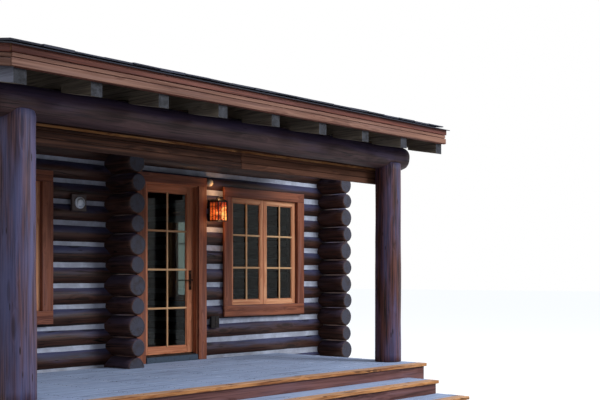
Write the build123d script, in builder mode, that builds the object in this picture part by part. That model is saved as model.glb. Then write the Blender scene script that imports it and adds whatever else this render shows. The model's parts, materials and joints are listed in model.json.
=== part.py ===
"""Log cabin with a covered front porch, modelled as its builders put it together.

Millimetres. X runs along the front wall, Y goes back into the cabin, Z is up from the ground.
The origin is the middle of the whole footprint at ground level.
"""
from build123d import *
from math import atan, cos
import os

os.makedirs("parts", exist_ok=True)

# Levels
DECK_Z = 450.0            # porch deck and cabin floor above the ground
STEP_RISE = 150.0         # one step of the porch stair
COURSE = 230.0            # one log course, centre to centre
FOOTING_T = 300.0         # thickness of the masonry footing wall

# Log walls
LOG_SIDES = 8             # each log is hewn to this many flats, and so is the notch over its top
WALL_LOG_D = 228.0        # logs of the front and back walls, flat to flat
THICK_LOG_D = 244.0       # logs of the crossing walls alternate thick
THIN_LOG_D = 204.0        # and thin
CHINK_T = 168.0           # thickness of the mortar between the logs
CROWN_OUT = 420.0         # log ends stand out past the wall's face
WALL_COURSES = 14         # one below the deck, thirteen above it
OPENING_COURSES = 9       # courses between the deck and the logs over the windows
SILL_COURSES = 3          # courses between the deck and a window

# Plan, to the log centre lines
CABIN_W = 7400.0          # left wall to right wall
CABIN_D = 5500.0          # front wall to back wall
PARTITION_X = -30.0       # the log wall between the two rooms
INNER_DOOR_W = 900.0      # open doorway in that wall

# Door
DOOR_X = 820.0            # middle of the doorway
LEAF_W = 830.0
LEAF_H = 2040.0
LEAF_T = 45.0
LEAF_BACK = 70.0          # leaf's outer face behind the wall's face
DOOR_GAP = 7.0            # running clearance round the leaf
JAMB_T = 38.0
STOP_T = 12.0
THRESHOLD_H = 88.0        # underside of the leaf above the deck
STILE_W = 102.0
TOP_RAIL = 90.0
BOTTOM_RAIL = 84.0
MUNTIN_W = 24.0
MUNTIN_T = 20.0
GLASS_T = 6.0
HINGE_D = 16.0            # hinge knuckle
HINGE_L = 100.0
HINGE_PLATE_W, HINGE_PLATE_T = 28.0, 3.0
KNUCKLE_OUT = 1.0         # knuckle's underside off the leaf's inner face
KNUCKLE_PLAY = 0.5        # between the leaf's knuckle and the frame's
HINGES_AT = (0.12, 0.5, 0.88)   # shares of the leaf's height
PLATE_W, PLATE_H, PLATE_T = 45.0, 240.0, 8.0
HANDLE_Z = 890.0          # above the leaf's foot
LEVER_L = 115.0
LEVER_D = 18.0
LEVER_OUT = 45.0          # lever's outer face off its plate
LEVER_T = 12.0

# Windows
WINDOW_X = 2450.0         # middle of the right front window
LEFT_WINDOW_X = -1654.0   # middle of the left front window
WINDOW_W = 1332.0         # opening in the logs
WINDOW_FOOT = 622.0       # foot of the opening above the deck
FRAME_T = 32.0
SASH_W = 62.0
SASH_T = 45.0
SASH_BACK = 15.0          # sash's outer face behind the wall's face
FRAME_D = 160.0           # window frame, from the wall's face inwards
SASH_GAP = 2.0            # between the two sashes of a front window
SMALL_WINDOW_W = 860.0    # side and back windows
BACK_WINDOW_X = 1850.0

# Casings
CASING_T = 32.0
CASING_W = 135.0
HEAD_CASING_W = 118.0
APRON_W = 142.0
DOOR_CASING_W = 132.0
DOOR_HEAD_CASING_W = 108.0

# Porch
DECK_OUT = 2380.0         # deck front edge past the wall's face
DECK_W = 5400.0
BOARD_T = 38.0
NOSING = 25.0
RIM_T = 45.0
JOISTS = 9
POST_X = 2570.0
POST_OUT = 1930.0         # post centre past the wall's face
POST_D = 310.0
HEADER_D = 300.0
HEADER_PAST = 290.0       # header log past each post's centre
HEADER_Z = 2460.0         # header log's centre above the deck
SAWN_H = 185.0            # sawn board behind the header log
SAWN_T = 60.0
SAWN_TOP = 2330.0         # above the deck
STEP_W = 4700.0
STEP_GOING = 400.0

# Roofs
RAFTER_W = 115.0
RAFTER_H = 250.0
RAFTERS = 9
RAFTER_SPAN = 5880.0      # outside to outside of the porch's end rafters
TAIL_OUT = 2450.0         # rafter tails past the wall's face
SEAT = 25.0               # notch of a rafter over the log that carries it
SHEATHING_T = 40.0
SHINGLE_T = 30.0
SHINGLE_OVER = 30.0       # shingles past the fascia
MAIN_PITCH = 0.29         # rise over run of the main roof
MAIN_OVER = 520.0         # eaves past the wall's face
GABLE_OVER = 760.0        # verges past the side wall's centre line
FASCIA_H = 172.0
FASCIA_T = 45.0
RIDGE_CAP_W = 260.0
RIDGE_POLE_D = 240.0
MAIN_RAFTERS = 7          # pairs between the side walls
MAIN_RAFTER_SPAN = 6700.0 # middle to middle of the end ones
BLOCKING_T = 50.0         # boards that close the wall top between the rafters

# Small fittings
FITTING_SIDES = 8         # small round pieces have this many flats
LANTERN_X = 1510.0
LANTERN_Z = 1835.0        # above the deck
LANTERN_W, LANTERN_H = 167.0, 250.0
LANTERN_BAR = 12.0
OUTLET_X = 1510.0
OUTLET_Z = 455.0
OUTLET_W, OUTLET_H, OUTLET_T = 140.0, 150.0, 45.0
BELL_X = -550.0
BELL_Z = 1830.0
BELL_BOX, BELL_BOX_T = 190.0, 40.0
BELL_D, BELL_T = 130.0, 28.0

# Values worked out from the above
LOG_R = WALL_LOG_D / 2
THICK_R = THICK_LOG_D / 2
SILL_BOTTOM = DECK_Z - COURSE
WALL_TOP = SILL_BOTTOM + WALL_COURSES * COURSE
HALF_W = CABIN_W / 2
STEPS_OUT = DECK_OUT + 2 * STEP_GOING
FRONT_Y = (LOG_R + STEPS_OUT + NOSING - CABIN_D - LOG_R - MAIN_OVER - FASCIA_T - SHINGLE_OVER) / 2
BACK_Y = FRONT_Y + CABIN_D
FACE_Y = FRONT_Y - LOG_R
POST_Y = FACE_Y - POST_OUT
HEADER_TOP = DECK_Z + HEADER_Z + HEADER_D / 2
RAFTER_FOOT = WALL_TOP - SEAT
PORCH_PITCH = (WALL_TOP - HEADER_TOP) / (FRONT_Y - POST_Y)
RIDGE_Y = (FRONT_Y + BACK_Y) / 2
TAIL_Y = FACE_Y - TAIL_OUT
DECK_Y = FACE_Y - DECK_OUT
EAVE_Y = FACE_Y - MAIN_OVER
DOOR_LOW = DECK_Z + THRESHOLD_H
DOOR_TOP = DOOR_LOW + LEAF_H + DOOR_GAP + JAMB_T
DOOR_W = LEAF_W + 2 * (DOOR_GAP + JAMB_T)
LEAF_Y = FACE_Y + LEAF_BACK
WINDOW_LOW = DECK_Z + WINDOW_FOOT
WINDOW_TOP = DECK_Z + OPENING_COURSES * COURSE
VERGE_X = HALF_W + GABLE_OVER


def log_z(k, crossing=False):
    """Centre height of log k; the walls that cross the front wall sit half a course lower."""
    return SILL_BOTTOM + COURSE * (k if crossing else k + 0.5)


def log_r(k, crossing=False):
    """Half a log's size; the crossing walls lay thick and thin logs in turn."""
    if crossing:
        return (THICK_LOG_D if k % 2 else THIN_LOG_D) / 2
    return LOG_R


def run_plane(along, line, start):
    """Sketch plane across a log wall: local x over its thickness, local y up."""
    if along == "x":
        return Plane(origin=(start, line, 0), x_dir=(0, 1, 0), z_dir=(1, 0, 0))
    return Plane(origin=(line, start, 0), x_dir=(-1, 0, 0), z_dir=(0, 1, 0))


def log_profile(courses, crossing):
    for k in courses:
        with Locations((0, log_z(k, crossing))):
            RegularPolygon(log_r(k, crossing), LOG_SIDES, major_radius=False, rotation=180 / LOG_SIDES)


def saddle_tool(along, line, courses, crossing, start, end):
    """The tops of the logs, which the crossing logs are notched over."""
    lap = (THICK_LOG_D - COURSE) / 2 + 3
    with BuildPart() as tool:
        with BuildSketch(run_plane(along, line, start)):
            for k in courses:
                r, z = log_r(k, crossing), log_z(k, crossing)
                with Locations((0, z)):
                    RegularPolygon(r, LOG_SIDES, major_radius=False, rotation=180 / LOG_SIDES)
                with Locations((0, z - lap)):
                    Rectangle(3 * r, r - lap, align=(Align.CENTER, Align.MAX), mode=Mode.SUBTRACT)
        extrude(amount=end - start)
    return tool.part


def log_wall(along, line, courses, crossing, mortared, bare, low, high):
    """Stacked logs, with mortar between them along the mortared runs and none along the bare ones."""
    with BuildPart() as wall:
        for start, end in mortared:
            with BuildSketch(run_plane(along, line, start)):
                log_profile(courses, crossing)
                with Locations((0, (low + high) / 2)):
                    Rectangle(CHINK_T, high - low)
                    Rectangle(2 * THICK_LOG_D, high - low, mode=Mode.INTERSECT)
            extrude(amount=end - start)
        for start, end in bare:
            with BuildSketch(run_plane(along, line, start)):
                log_profile(courses, crossing)
                with Locations((0, (low + high) / 2)):
                    Rectangle(2 * THICK_LOG_D, high - low, mode=Mode.INTERSECT)
            extrude(amount=end - start)
    return wall.part


def block(x, y, z):
    """A plain block between two corners on each axis."""
    with BuildPart() as made:
        with Locations(((x[0] + x[1]) / 2, (y[0] + y[1]) / 2, (z[0] + z[1]) / 2)):
            Box(x[1] - x[0], y[1] - y[0], z[1] - z[0])
    return made.part


def slab_on_slope(outline, x):
    """A solid from an outline in Y and Z, drawn out along X."""
    with BuildPart() as made:
        with BuildSketch(Plane.YZ.offset(x[0])):
            with BuildLine():
                Polyline(*outline, close=True)
            make_face()
        extrude(amount=x[1] - x[0])
    return made.part


def joined(parts):
    """Several solids kept as one node."""
    return Compound(children=[solid for part in parts for solid in part.solids()])


def save(part, name):
    part.label = name
    export_step(part, f"parts/{name}.step")


def porch_z(y):
    """Underside of the porch rafters."""
    return RAFTER_FOOT + PORCH_PITCH * (y - FRONT_Y)


def main_z(y):
    """Underside of the main rafters."""
    return RAFTER_FOOT + MAIN_PITCH * (CABIN_D / 2 - abs(y - RIDGE_Y))


def band(surface, ys, low, high):
    """Outline in Y and Z of a layer over a roof plane, between two heights above it."""
    return [(y, surface(y) + low) for y in ys] + [(y, surface(y) + high) for y in reversed(ys)]


PORCH_STEEP = 1 / cos(atan(PORCH_PITCH))
MAIN_STEEP = 1 / cos(atan(MAIN_PITCH))
PORCH_BOARDS = RAFTER_H * PORCH_STEEP                       # underside of the boards over the rafters' foot
PORCH_SHINGLES = PORCH_BOARDS + SHEATHING_T * PORCH_STEEP
MAIN_BOARDS = RAFTER_H * MAIN_STEEP
MAIN_SHINGLES = MAIN_BOARDS + SHEATHING_T * MAIN_STEEP

front_courses = range(WALL_COURSES)
side_courses = range(WALL_COURSES + 5)
corner_left = (-HALF_W - LOG_R - CROWN_OUT, -HALF_W + LOG_R)
corner_right = (HALF_W - LOG_R, HALF_W + LOG_R + CROWN_OUT)
corner_front = (FRONT_Y - LOG_R - CROWN_OUT, FRONT_Y + LOG_R)
corner_back = (BACK_Y - LOG_R, BACK_Y + LOG_R + CROWN_OUT)

# The notching tools run out past the crowns
crown_x = (FRONT_Y - LOG_R - CROWN_OUT - 50, BACK_Y + LOG_R + CROWN_OUT + 50)


def long_wall_panel(line, courses, start, end, crossed=()):
    """Part of the front or back wall: courses between two ends, notched over the walls that cross it."""
    low, high = SILL_BOTTOM + COURSE * courses[0], SILL_BOTTOM + COURSE * (courses[-1] + 1)
    bare, mortared, at = [], [], start
    for x in crossed:
        before, after = x - THICK_R, x + THICK_R
        if x == -HALF_W:
            before = corner_left[0]
        if x == HALF_W:
            after = corner_right[1]
        bare.append((before, after))
        if x != -HALF_W:
            mortared.append((at, before))
        at = after
    if at < end:
        mortared.append((at, end))
    panel = log_wall("x", line, courses, False, mortared, bare, low, high)
    for x in crossed:
        panel = panel - saddle_tool("y", x, [k for k in side_courses if low - COURSE < log_z(k, True) < high + COURSE],
                                   True, *crown_x)
    return panel


window_edges = (WINDOW_X - WINDOW_W / 2, WINDOW_X + WINDOW_W / 2)
left_window_edges = (LEFT_WINDOW_X - WINDOW_W / 2, LEFT_WINDOW_X + WINDOW_W / 2)
door_edges = (DOOR_X - DOOR_W / 2, DOOR_X + DOOR_W / 2)
beside = range(1, OPENING_COURSES + 1)
under = range(1, SILL_COURSES + 1)
over = range(OPENING_COURSES + 1, WALL_COURSES)
crossed_all = (-HALF_W, PARTITION_X, HALF_W)

save(long_wall_panel(FRONT_Y, range(1), corner_left[0], corner_right[1], crossed_all), "front_sill_log")
save(long_wall_panel(FRONT_Y, beside, corner_left[0], left_window_edges[0], (-HALF_W,)),
     "front_wall_left_of_window")
save(long_wall_panel(FRONT_Y, beside, left_window_edges[1], door_edges[0], (PARTITION_X,)),
     "front_wall_middle")
save(long_wall_panel(FRONT_Y, beside, door_edges[1], window_edges[0]), "front_wall_beside_door")
save(long_wall_panel(FRONT_Y, beside, window_edges[1], corner_right[1], (HALF_W,)),
     "front_wall_right_of_window")
above_sill = block((-HALF_W, HALF_W), (FACE_Y - 50, FRONT_Y + LOG_R + 50), (WINDOW_LOW, WINDOW_TOP))
save(joined([long_wall_panel(FRONT_Y, under, *edges) - above_sill for edges in (left_window_edges, window_edges)]),
     "front_wall_under_windows")
door_head = block(door_edges, (FACE_Y - 50, FRONT_Y + LOG_R + 50), (DECK_Z, DOOR_TOP))
save(long_wall_panel(FRONT_Y, over, corner_left[0], corner_right[1], crossed_all) - door_head,
     "front_wall_top")

# Back wall, whole but for its two windows
back_edges = [(x - SMALL_WINDOW_W / 2, x + SMALL_WINDOW_W / 2) for x in (-BACK_WINDOW_X, BACK_WINDOW_X)]
back_wall = long_wall_panel(BACK_Y, front_courses, corner_left[0], corner_right[1], (-HALF_W, HALF_W))
for edges in back_edges:
    back_wall -= block(edges, (BACK_Y - 2 * LOG_R, BACK_Y + 2 * LOG_R), (WINDOW_LOW, WINDOW_TOP))
save(back_wall, "back_wall")

# Ridge pole, carried by the gables
ridge_axis = Plane(origin=(-VERGE_X + FASCIA_T, RIDGE_Y, main_z(RIDGE_Y) - RIDGE_POLE_D / 2 + SEAT),
                   x_dir=(0, 1, 0), z_dir=(1, 0, 0))
with BuildPart() as ridge_pole:
    with BuildSketch(ridge_axis):
        RegularPolygon(RIDGE_POLE_D / 2, LOG_SIDES, major_radius=False, rotation=180 / LOG_SIDES)
    extrude(amount=2 * (VERGE_X - FASCIA_T))
save(ridge_pole.part, "ridge_pole")

# Side walls and the partition: their logs lie half a course lower, the lowest a half log.
# The gables run up to the underside of the roof boards.
roof_space = band(main_z, (EAVE_Y - COURSE, RIDGE_Y, 2 * RIDGE_Y - EAVE_Y + COURSE), MAIN_BOARDS, 2 * CABIN_D)
over_roof = slab_on_slope(roof_space, (-VERGE_X, VERGE_X))
side_window = block((-VERGE_X, VERGE_X), (RIDGE_Y - SMALL_WINDOW_W / 2, RIDGE_Y + SMALL_WINDOW_W / 2),
                    (WINDOW_LOW, WINDOW_TOP))
front_tool = saddle_tool("x", FRONT_Y, front_courses, False, corner_left[0] - COURSE, corner_right[1] + COURSE)
back_tool = saddle_tool("x", BACK_Y, front_courses, False, corner_left[0] - COURSE, corner_right[1] + COURSE)
wall_courses = range(WALL_COURSES + 1)
gable_courses = range(WALL_COURSES + 1, WALL_COURSES + 5)
wall_split = log_z(WALL_COURSES, True) + COURSE / 2


def side_wall(x):
    """Log wall with a crown at each end and a gable above."""
    mortared = [(corner_front[1], corner_back[0])]
    wall = log_wall("y", x, wall_courses, True, mortared, [corner_front, corner_back], SILL_BOTTOM, wall_split)
    gable = log_wall("y", x, gable_courses, True, mortared, [], wall_split,
                     wall_split + COURSE * len(gable_courses))
    return wall + gable - front_tool - back_tool - over_roof - side_window - ridge_pole.part


save(side_wall(-HALF_W), "left_wall")
save(side_wall(HALF_W), "right_wall")

inner_door = (RIDGE_Y, RIDGE_Y + INNER_DOOR_W)
beside_inner = range(OPENING_COURSES + 1)
over_inner = range(OPENING_COURSES + 1, WALL_COURSES)
inner_head = log_z(OPENING_COURSES, True) + COURSE / 2
inner_back = BACK_Y - LOG_R
save(log_wall("y", PARTITION_X, beside_inner, True, [(corner_front[1], inner_door[0])], [corner_front],
              SILL_BOTTOM, inner_head) - front_tool, "partition_front")
save(log_wall("y", PARTITION_X, beside_inner, True, [(inner_door[1], inner_back)], [],
              SILL_BOTTOM, inner_head), "partition_back")
over_porch = slab_on_slope(band(porch_z, (corner_front[0] - COURSE, FRONT_Y - LOG_R), 0, RAFTER_H),
                           (PARTITION_X - COURSE, PARTITION_X + COURSE))
save(log_wall("y", PARTITION_X, over_inner, True, [(corner_front[1], inner_back)], [corner_front],
              inner_head, log_z(WALL_COURSES - 1, True) + COURSE / 2) - front_tool - over_porch,
     "partition_over_doorway")

# Masonry footing under the log walls, and the cabin's floor on joists between them
footing_out = FOOTING_T / 2
with BuildPart() as foundation:
    with BuildSketch():
        with Locations((0, RIDGE_Y)):
            Rectangle(CABIN_W + FOOTING_T, CABIN_D + FOOTING_T)
            Rectangle(CABIN_W - FOOTING_T, CABIN_D - FOOTING_T, mode=Mode.SUBTRACT)
        with Locations((PARTITION_X, RIDGE_Y)):
            Rectangle(FOOTING_T, CABIN_D)
    extrude(amount=SILL_BOTTOM)
save(foundation.part, "foundation")

room_y = (FRONT_Y + LOG_R, BACK_Y - LOG_R)


def room_floor(x):
    """Boards over joists that bear on the footing's inner ledge."""
    boards = block(x, room_y, (DECK_Z - BOARD_T, DECK_Z))
    bay = (room_y[1] - room_y[0]) / 8
    for i in range(1, 8):
        y = room_y[0] + i * bay
        boards += block(x, (y - RIM_T / 2, y + RIM_T / 2), (SILL_BOTTOM, DECK_Z - BOARD_T))
    return boards


left_floor = room_floor((-HALF_W + THICK_R, PARTITION_X - THICK_R))
right_floor = room_floor((PARTITION_X + THICK_R, HALF_W - THICK_R))
doorway_floor = block((PARTITION_X - THICK_R, PARTITION_X + THICK_R), inner_door, (SILL_BOTTOM, DECK_Z))
with BuildPart() as cabin_floor:
    add(left_floor)
    add(right_floor)
    add(doorway_floor)
save(cabin_floor.part, "cabin_floor")


# Doors and windows are drawn on a plane at a wall's centre line, x to the right and z out of the wall
def wall_plane(x, y, out):
    return Plane(origin=(x, y, 0), x_dir=(-out[1], out[0], 0), z_dir=(out[0], out[1], 0))


def ring(plane, depth, outer, inner):
    """A rectangular frame between two depths; outer and inner are (x0, x1, z0, z1)."""
    with BuildPart() as made:
        with BuildSketch(plane.offset(depth[0])):
            for edges, mode in ((outer, Mode.ADD), (inner, Mode.SUBTRACT)):
                x0, x1, z0, z1 = edges
                with Locations(((x0 + x1) / 2, (z0 + z1) / 2)):
                    Rectangle(x1 - x0, z1 - z0, mode=mode)
        extrude(amount=depth[1] - depth[0])
    return made.part


def panel(plane, depth, edges):
    x0, x1, z0, z1 = edges
    with BuildPart() as made:
        with BuildSketch(plane.offset(depth[0])):
            with Locations(((x0 + x1) / 2, (z0 + z1) / 2)):
                Rectangle(x1 - x0, z1 - z0)
        extrude(amount=depth[1] - depth[0])
    return made.part


def inset(edges, by):
    return edges[0] + by, edges[1] - by, edges[2] + by, edges[3] - by


def glazed(plane, depth, edges, stile, top, bottom, columns, rows):
    """Sash or leaf with muntins on the outer face of one pane of glass."""
    glass = edges[0] + stile, edges[1] - stile, edges[2] + bottom, edges[3] - top
    frame = ring(plane, depth, edges, glass)
    face = (depth[0] + depth[1] + GLASS_T) / 2
    bars = (face, face + MUNTIN_T)
    for i in range(1, columns):
        x = glass[0] + (glass[1] - glass[0]) * i / columns
        frame += panel(plane, bars, (x - MUNTIN_W / 2, x + MUNTIN_W / 2, glass[2], glass[3]))
    for i in range(1, rows):
        z = glass[2] + (glass[3] - glass[2]) * i / rows
        frame += panel(plane, bars, (glass[0], glass[1], z - MUNTIN_W / 2, z + MUNTIN_W / 2))
    return frame, panel(plane, (face - GLASS_T, face), glass)


def window(plane, face, width, leaves):
    """Frame, sashes, glass and casing of one window, closed; face is the wall's face off its centre line."""
    opening = (-width / 2, width / 2, WINDOW_LOW, WINDOW_TOP)
    inner = inset(opening, FRAME_T)
    frame = ring(plane, (face - FRAME_D, face), opening, inner)
    sash_depth = (face - SASH_BACK - SASH_T, face - SASH_BACK)
    sashes, panes = [], []
    leaf_w = (inner[1] - inner[0] - SASH_GAP * (leaves - 1)) / leaves
    for i in range(leaves):
        left = inner[0] + i * (leaf_w + SASH_GAP)
        edges = (left, left + leaf_w, inner[2], inner[3])
        sash, pane = glazed(plane, sash_depth, edges, SASH_W, SASH_W, SASH_W, 2, 3)
        sashes.append(sash)
        panes.append(pane)
    casing_out = (inner[0] - CASING_W, inner[1] + CASING_W, inner[2] - APRON_W, inner[3] + HEAD_CASING_W)
    casing = ring(plane, (face, face + CASING_T), casing_out, inner)
    return frame, sashes, panes, casing


front_frames, front_sashes, front_panes, front_casings = [], [], [], []
for x in (LEFT_WINDOW_X, WINDOW_X):
    frame, sashes, panes, casing = window(wall_plane(x, FRONT_Y, (0, -1)), LOG_R, WINDOW_W, 2)
    front_frames.append(frame)
    front_sashes += sashes
    front_panes += panes
    front_casings.append(casing)
save(joined(front_frames), "front_window_frames")
save(joined(front_sashes), "front_window_sashes")
save(joined(front_panes), "front_window_glass")
save(joined(front_casings), "front_window_casings")

other_places = [(wall_plane(-BACK_WINDOW_X, BACK_Y, (0, 1)), LOG_R),
                (wall_plane(BACK_WINDOW_X, BACK_Y, (0, 1)), LOG_R),
                (wall_plane(-HALF_W, RIDGE_Y, (-1, 0)), THICK_R), (wall_plane(HALF_W, RIDGE_Y, (1, 0)), THICK_R)]
other_frames, other_glass, other_casings = [], [], []
for plane, face in other_places:
    frame, sashes, panes, casing = window(plane, face, SMALL_WINDOW_W, 1)
    other_frames.append(frame + sashes[0])
    other_glass.append(panes[0])
    other_casings.append(casing)
save(joined(other_frames), "side_and_back_windows")
save(joined(other_glass), "side_and_back_glass")
save(joined(other_casings), "side_and_back_casings")

# Front door: frame with a stop, threshold, and a leaf of eight panes that swings into the room
front = wall_plane(DOOR_X, FRONT_Y, (0, -1))
half_leaf, half_door = LEAF_W / 2, DOOR_W / 2
leaf_depth = (LOG_R - LEAF_BACK - LEAF_T, LOG_R - LEAF_BACK)
door_inner = (-half_leaf - DOOR_GAP, half_leaf + DOOR_GAP, DECK_Z, DOOR_TOP - JAMB_T)
door_outer = (-half_door, half_door, DECK_Z, DOOR_TOP)
stop_inner = (door_inner[0] + STOP_T, door_inner[1] - STOP_T, DECK_Z, door_inner[3] - STOP_T)
door_frame = ring(front, (leaf_depth[0], LOG_R), door_outer, door_inner)
door_frame += ring(front, (leaf_depth[1] + DOOR_GAP, LOG_R), door_inner, stop_inner)

# The hinges turn in the middle of the gap at the leaf's left edge, on the room's side
HINGE_X = DOOR_X - half_leaf - DOOR_GAP / 2
INNER_FACE_Y = FRONT_Y - leaf_depth[0]
HINGE_Y = INNER_FACE_Y + KNUCKLE_OUT + HINGE_D / 2


def hinge_half(z, side):
    """Knuckle and plate of one hinge; side is 1 for the leaf's upper half and -1 for the frame's lower half."""
    low = z if side > 0 else z - HINGE_L / 2
    high = z + HINGE_L / 2 if side > 0 else z - KNUCKLE_PLAY
    edge = HINGE_X + side * (DOOR_GAP / 2 + HINGE_PLATE_W)
    half = block(sorted((HINGE_X, edge)), (INNER_FACE_Y, INNER_FACE_Y + HINGE_PLATE_T), (low, high))
    with BuildPart() as knuckle:
        with BuildSketch(Plane.XY.offset(low)):
            with Locations((HINGE_X, HINGE_Y)):
                RegularPolygon(HINGE_D / 2, FITTING_SIDES, major_radius=False, rotation=180 / FITTING_SIDES)
        extrude(amount=high - low)
    return half + knuckle.part


hinge_z = [DOOR_LOW + LEAF_H * share for share in HINGES_AT]
for z in hinge_z:
    door_frame += hinge_half(z, -1)
save(door_frame, "door_frame")
save(panel(front, (leaf_depth[0], LOG_R + CASING_T),
           (stop_inner[0], stop_inner[1], DECK_Z, DOOR_LOW - DOOR_GAP)), "door_threshold")
casing_out = (door_inner[0] - DOOR_CASING_W, door_inner[1] + DOOR_CASING_W, DECK_Z,
              door_inner[3] + DOOR_HEAD_CASING_W)
save(ring(front, (LOG_R, LOG_R + CASING_T), casing_out, door_inner), "door_casing")

leaf_edges = (-half_leaf, half_leaf, DOOR_LOW, DOOR_LOW + LEAF_H)
leaf, leaf_glass = glazed(front, leaf_depth, leaf_edges, STILE_W, TOP_RAIL, BOTTOM_RAIL, 2, 4)
save(leaf_glass, "door_glass")

for z in hinge_z:
    leaf += hinge_half(z, 1)
save(leaf, "door_leaf")

handle_x = half_leaf - STILE_W / 2
handle_z = DOOR_LOW + HANDLE_Z
plate = (handle_x - PLATE_W / 2, handle_x + PLATE_W / 2, handle_z - PLATE_H / 2, handle_z + PLATE_H / 2)


def handle(face, out):
    """Long plate with a lever, on one face of the leaf; out is 1 outside and -1 inside."""
    tip = face + out * PLATE_T
    with BuildPart() as made:
        with BuildSketch(front.offset(face)):
            with Locations((handle_x, handle_z)):
                Rectangle(PLATE_W, PLATE_H)
        extrude(amount=out * PLATE_T)
        with BuildSketch(front.offset(tip)):
            with Locations((handle_x, handle_z)):
                RegularPolygon(LEVER_D / 2, FITTING_SIDES)
        extrude(amount=out * LEVER_OUT)
        with BuildSketch(front.offset(tip + out * (LEVER_OUT - LEVER_T))):
            with Locations((handle_x - LEVER_L / 2, handle_z)):
                Rectangle(LEVER_L + LEVER_D, LEVER_D)
        extrude(amount=out * LEVER_T)
    return made.part


save(joined([handle(leaf_depth[1], 1), handle(leaf_depth[0], -1)]), "door_handles")

# Porch: framed deck, two steps, round posts coped under a header log, and a sawn board behind it
deck_x = (-DECK_W / 2, DECK_W / 2)
crown_box = block((PARTITION_X - THICK_R, PARTITION_X + THICK_R), (corner_front[0], FACE_Y), (0, DECK_Z))
save(block(deck_x, (DECK_Y - NOSING, FACE_Y), (DECK_Z - BOARD_T, DECK_Z)) - crown_box, "porch_deck")

under_deck = DECK_Z - BOARD_T
with BuildPart() as porch_frame:
    with BuildSketch():
        with Locations(((0, (DECK_Y + FACE_Y) / 2))):
            Rectangle(DECK_W - 2 * NOSING, DECK_OUT)
            Rectangle(DECK_W - 2 * NOSING - 2 * RIM_T, DECK_OUT - 2 * RIM_T, mode=Mode.SUBTRACT)
        with GridLocations((DECK_W - 2 * NOSING) / (JOISTS + 1), 0, JOISTS, 1):
            with Locations((0, (DECK_Y + FACE_Y) / 2)):
                Rectangle(RIM_T, DECK_OUT - RIM_T)
    extrude(amount=under_deck)
    add(crown_box, mode=Mode.SUBTRACT)
    add(foundation.part, mode=Mode.SUBTRACT)
save(porch_frame.part, "porch_frame")


def step(back, top):
    """Tread over a riser board and side boards, standing on the ground against what is behind it."""
    front_edge = back - STEP_GOING
    with BuildPart() as made:
        with BuildSketch(Plane.XY.offset(top - BOARD_T)):
            with Locations((0, (back + front_edge - NOSING) / 2)):
                Rectangle(STEP_W, STEP_GOING + NOSING)
        extrude(amount=BOARD_T)
        with BuildSketch():
            with Locations((0, (back + front_edge) / 2)):
                Rectangle(STEP_W - 2 * NOSING, STEP_GOING)
                Rectangle(STEP_W - 2 * NOSING - 2 * RIM_T, STEP_GOING - 2 * RIM_T, mode=Mode.SUBTRACT)
        extrude(amount=top - BOARD_T)
    return made.part


save(step(DECK_Y, DECK_Z - STEP_RISE), "upper_step")
save(step(DECK_Y - STEP_GOING, DECK_Z - 2 * STEP_RISE), "lower_step")

header_axis = Plane(origin=(-POST_X - HEADER_PAST, POST_Y, DECK_Z + HEADER_Z), x_dir=(0, 1, 0), z_dir=(1, 0, 0))
with BuildPart() as header_log:
    with BuildSketch(header_axis):
        Circle(HEADER_D / 2)
    extrude(amount=2 * (POST_X + HEADER_PAST))
save(header_log.part, "header_log")

for name, x in (("left_post", -POST_X), ("right_post", POST_X)):
    with BuildPart() as post:
        with BuildSketch(Plane.XY.offset(DECK_Z)):
            with Locations((x, POST_Y)):
                Circle(POST_D / 2)
        extrude(amount=HEADER_Z)
        add(header_log.part, mode=Mode.SUBTRACT)
    save(post.part, name)

sawn_y = POST_Y + POST_D / 2
sawn_x = (-POST_X - POST_D / 2, POST_X + POST_D / 2)
save(block(sawn_x, (sawn_y, sawn_y + SAWN_T), (DECK_Z + SAWN_TOP - SAWN_H, DECK_Z + SAWN_TOP)), "sawn_board")

# Porch rafters bear on the header log and the front wall; main rafters on the walls and a ridge pole
rafter_pitch = (RAFTER_SPAN - RAFTER_W) / (RAFTERS - 1)
rafter_x = [-RAFTER_SPAN / 2 + RAFTER_W / 2 + i * rafter_pitch for i in range(RAFTERS)]


def seat(y, half, top):
    """What a rafter's notch leaves clear over the log that carries it."""
    return block((-VERGE_X, VERGE_X), (y - half, y + half), (top - COURSE, top))


header_seat = seat(POST_Y, 0.75 * HEADER_D / 2, HEADER_TOP)
wall_seat = seat(FRONT_Y, LOG_R, WALL_TOP)
back_seat = seat(BACK_Y, LOG_R, WALL_TOP)
ridge_seat = seat(RIDGE_Y, 0.9 * RIDGE_POLE_D / 2, main_z(RIDGE_Y) + SEAT)


def rafter(x, outline):
    return slab_on_slope(outline, (x - RAFTER_W / 2, x + RAFTER_W / 2))


porch_rafter = band(porch_z, (TAIL_Y, FRONT_Y), 0, PORCH_BOARDS)
save(joined([rafter(x, porch_rafter) - header_seat - wall_seat for x in rafter_x]), "porch_rafters")

back_eave = 2 * RIDGE_Y - EAVE_Y
porch_half = RAFTER_SPAN / 2
shingle_half = porch_half + FASCIA_T + SHINGLE_OVER


def main_rafters(starts, ends):
    """Half of each pair, from the ridge down; starts holds (x, y of the foot)."""
    return joined([rafter(x, band(main_z, (y, ends), 0, MAIN_BOARDS)) - wall_seat - back_seat - ridge_seat
                   for x, y in starts])


main_pitch_x = MAIN_RAFTER_SPAN / (MAIN_RAFTERS - 1)
main_rafter_x = [-MAIN_RAFTER_SPAN / 2 + i * main_pitch_x for i in range(MAIN_RAFTERS)]
fly_x = VERGE_X - FASCIA_T - RAFTER_W / 2
all_rafter_x = [-fly_x] + main_rafter_x + [fly_x]
front_feet = [(x, FRONT_Y if abs(x) < shingle_half else EAVE_Y) for x in all_rafter_x]
back_feet = [(x, back_eave) for x in all_rafter_x]
save(main_rafters(front_feet, RIDGE_Y), "main_rafters_front")
save(main_rafters(back_feet, RIDGE_Y), "main_rafters_back")

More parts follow.
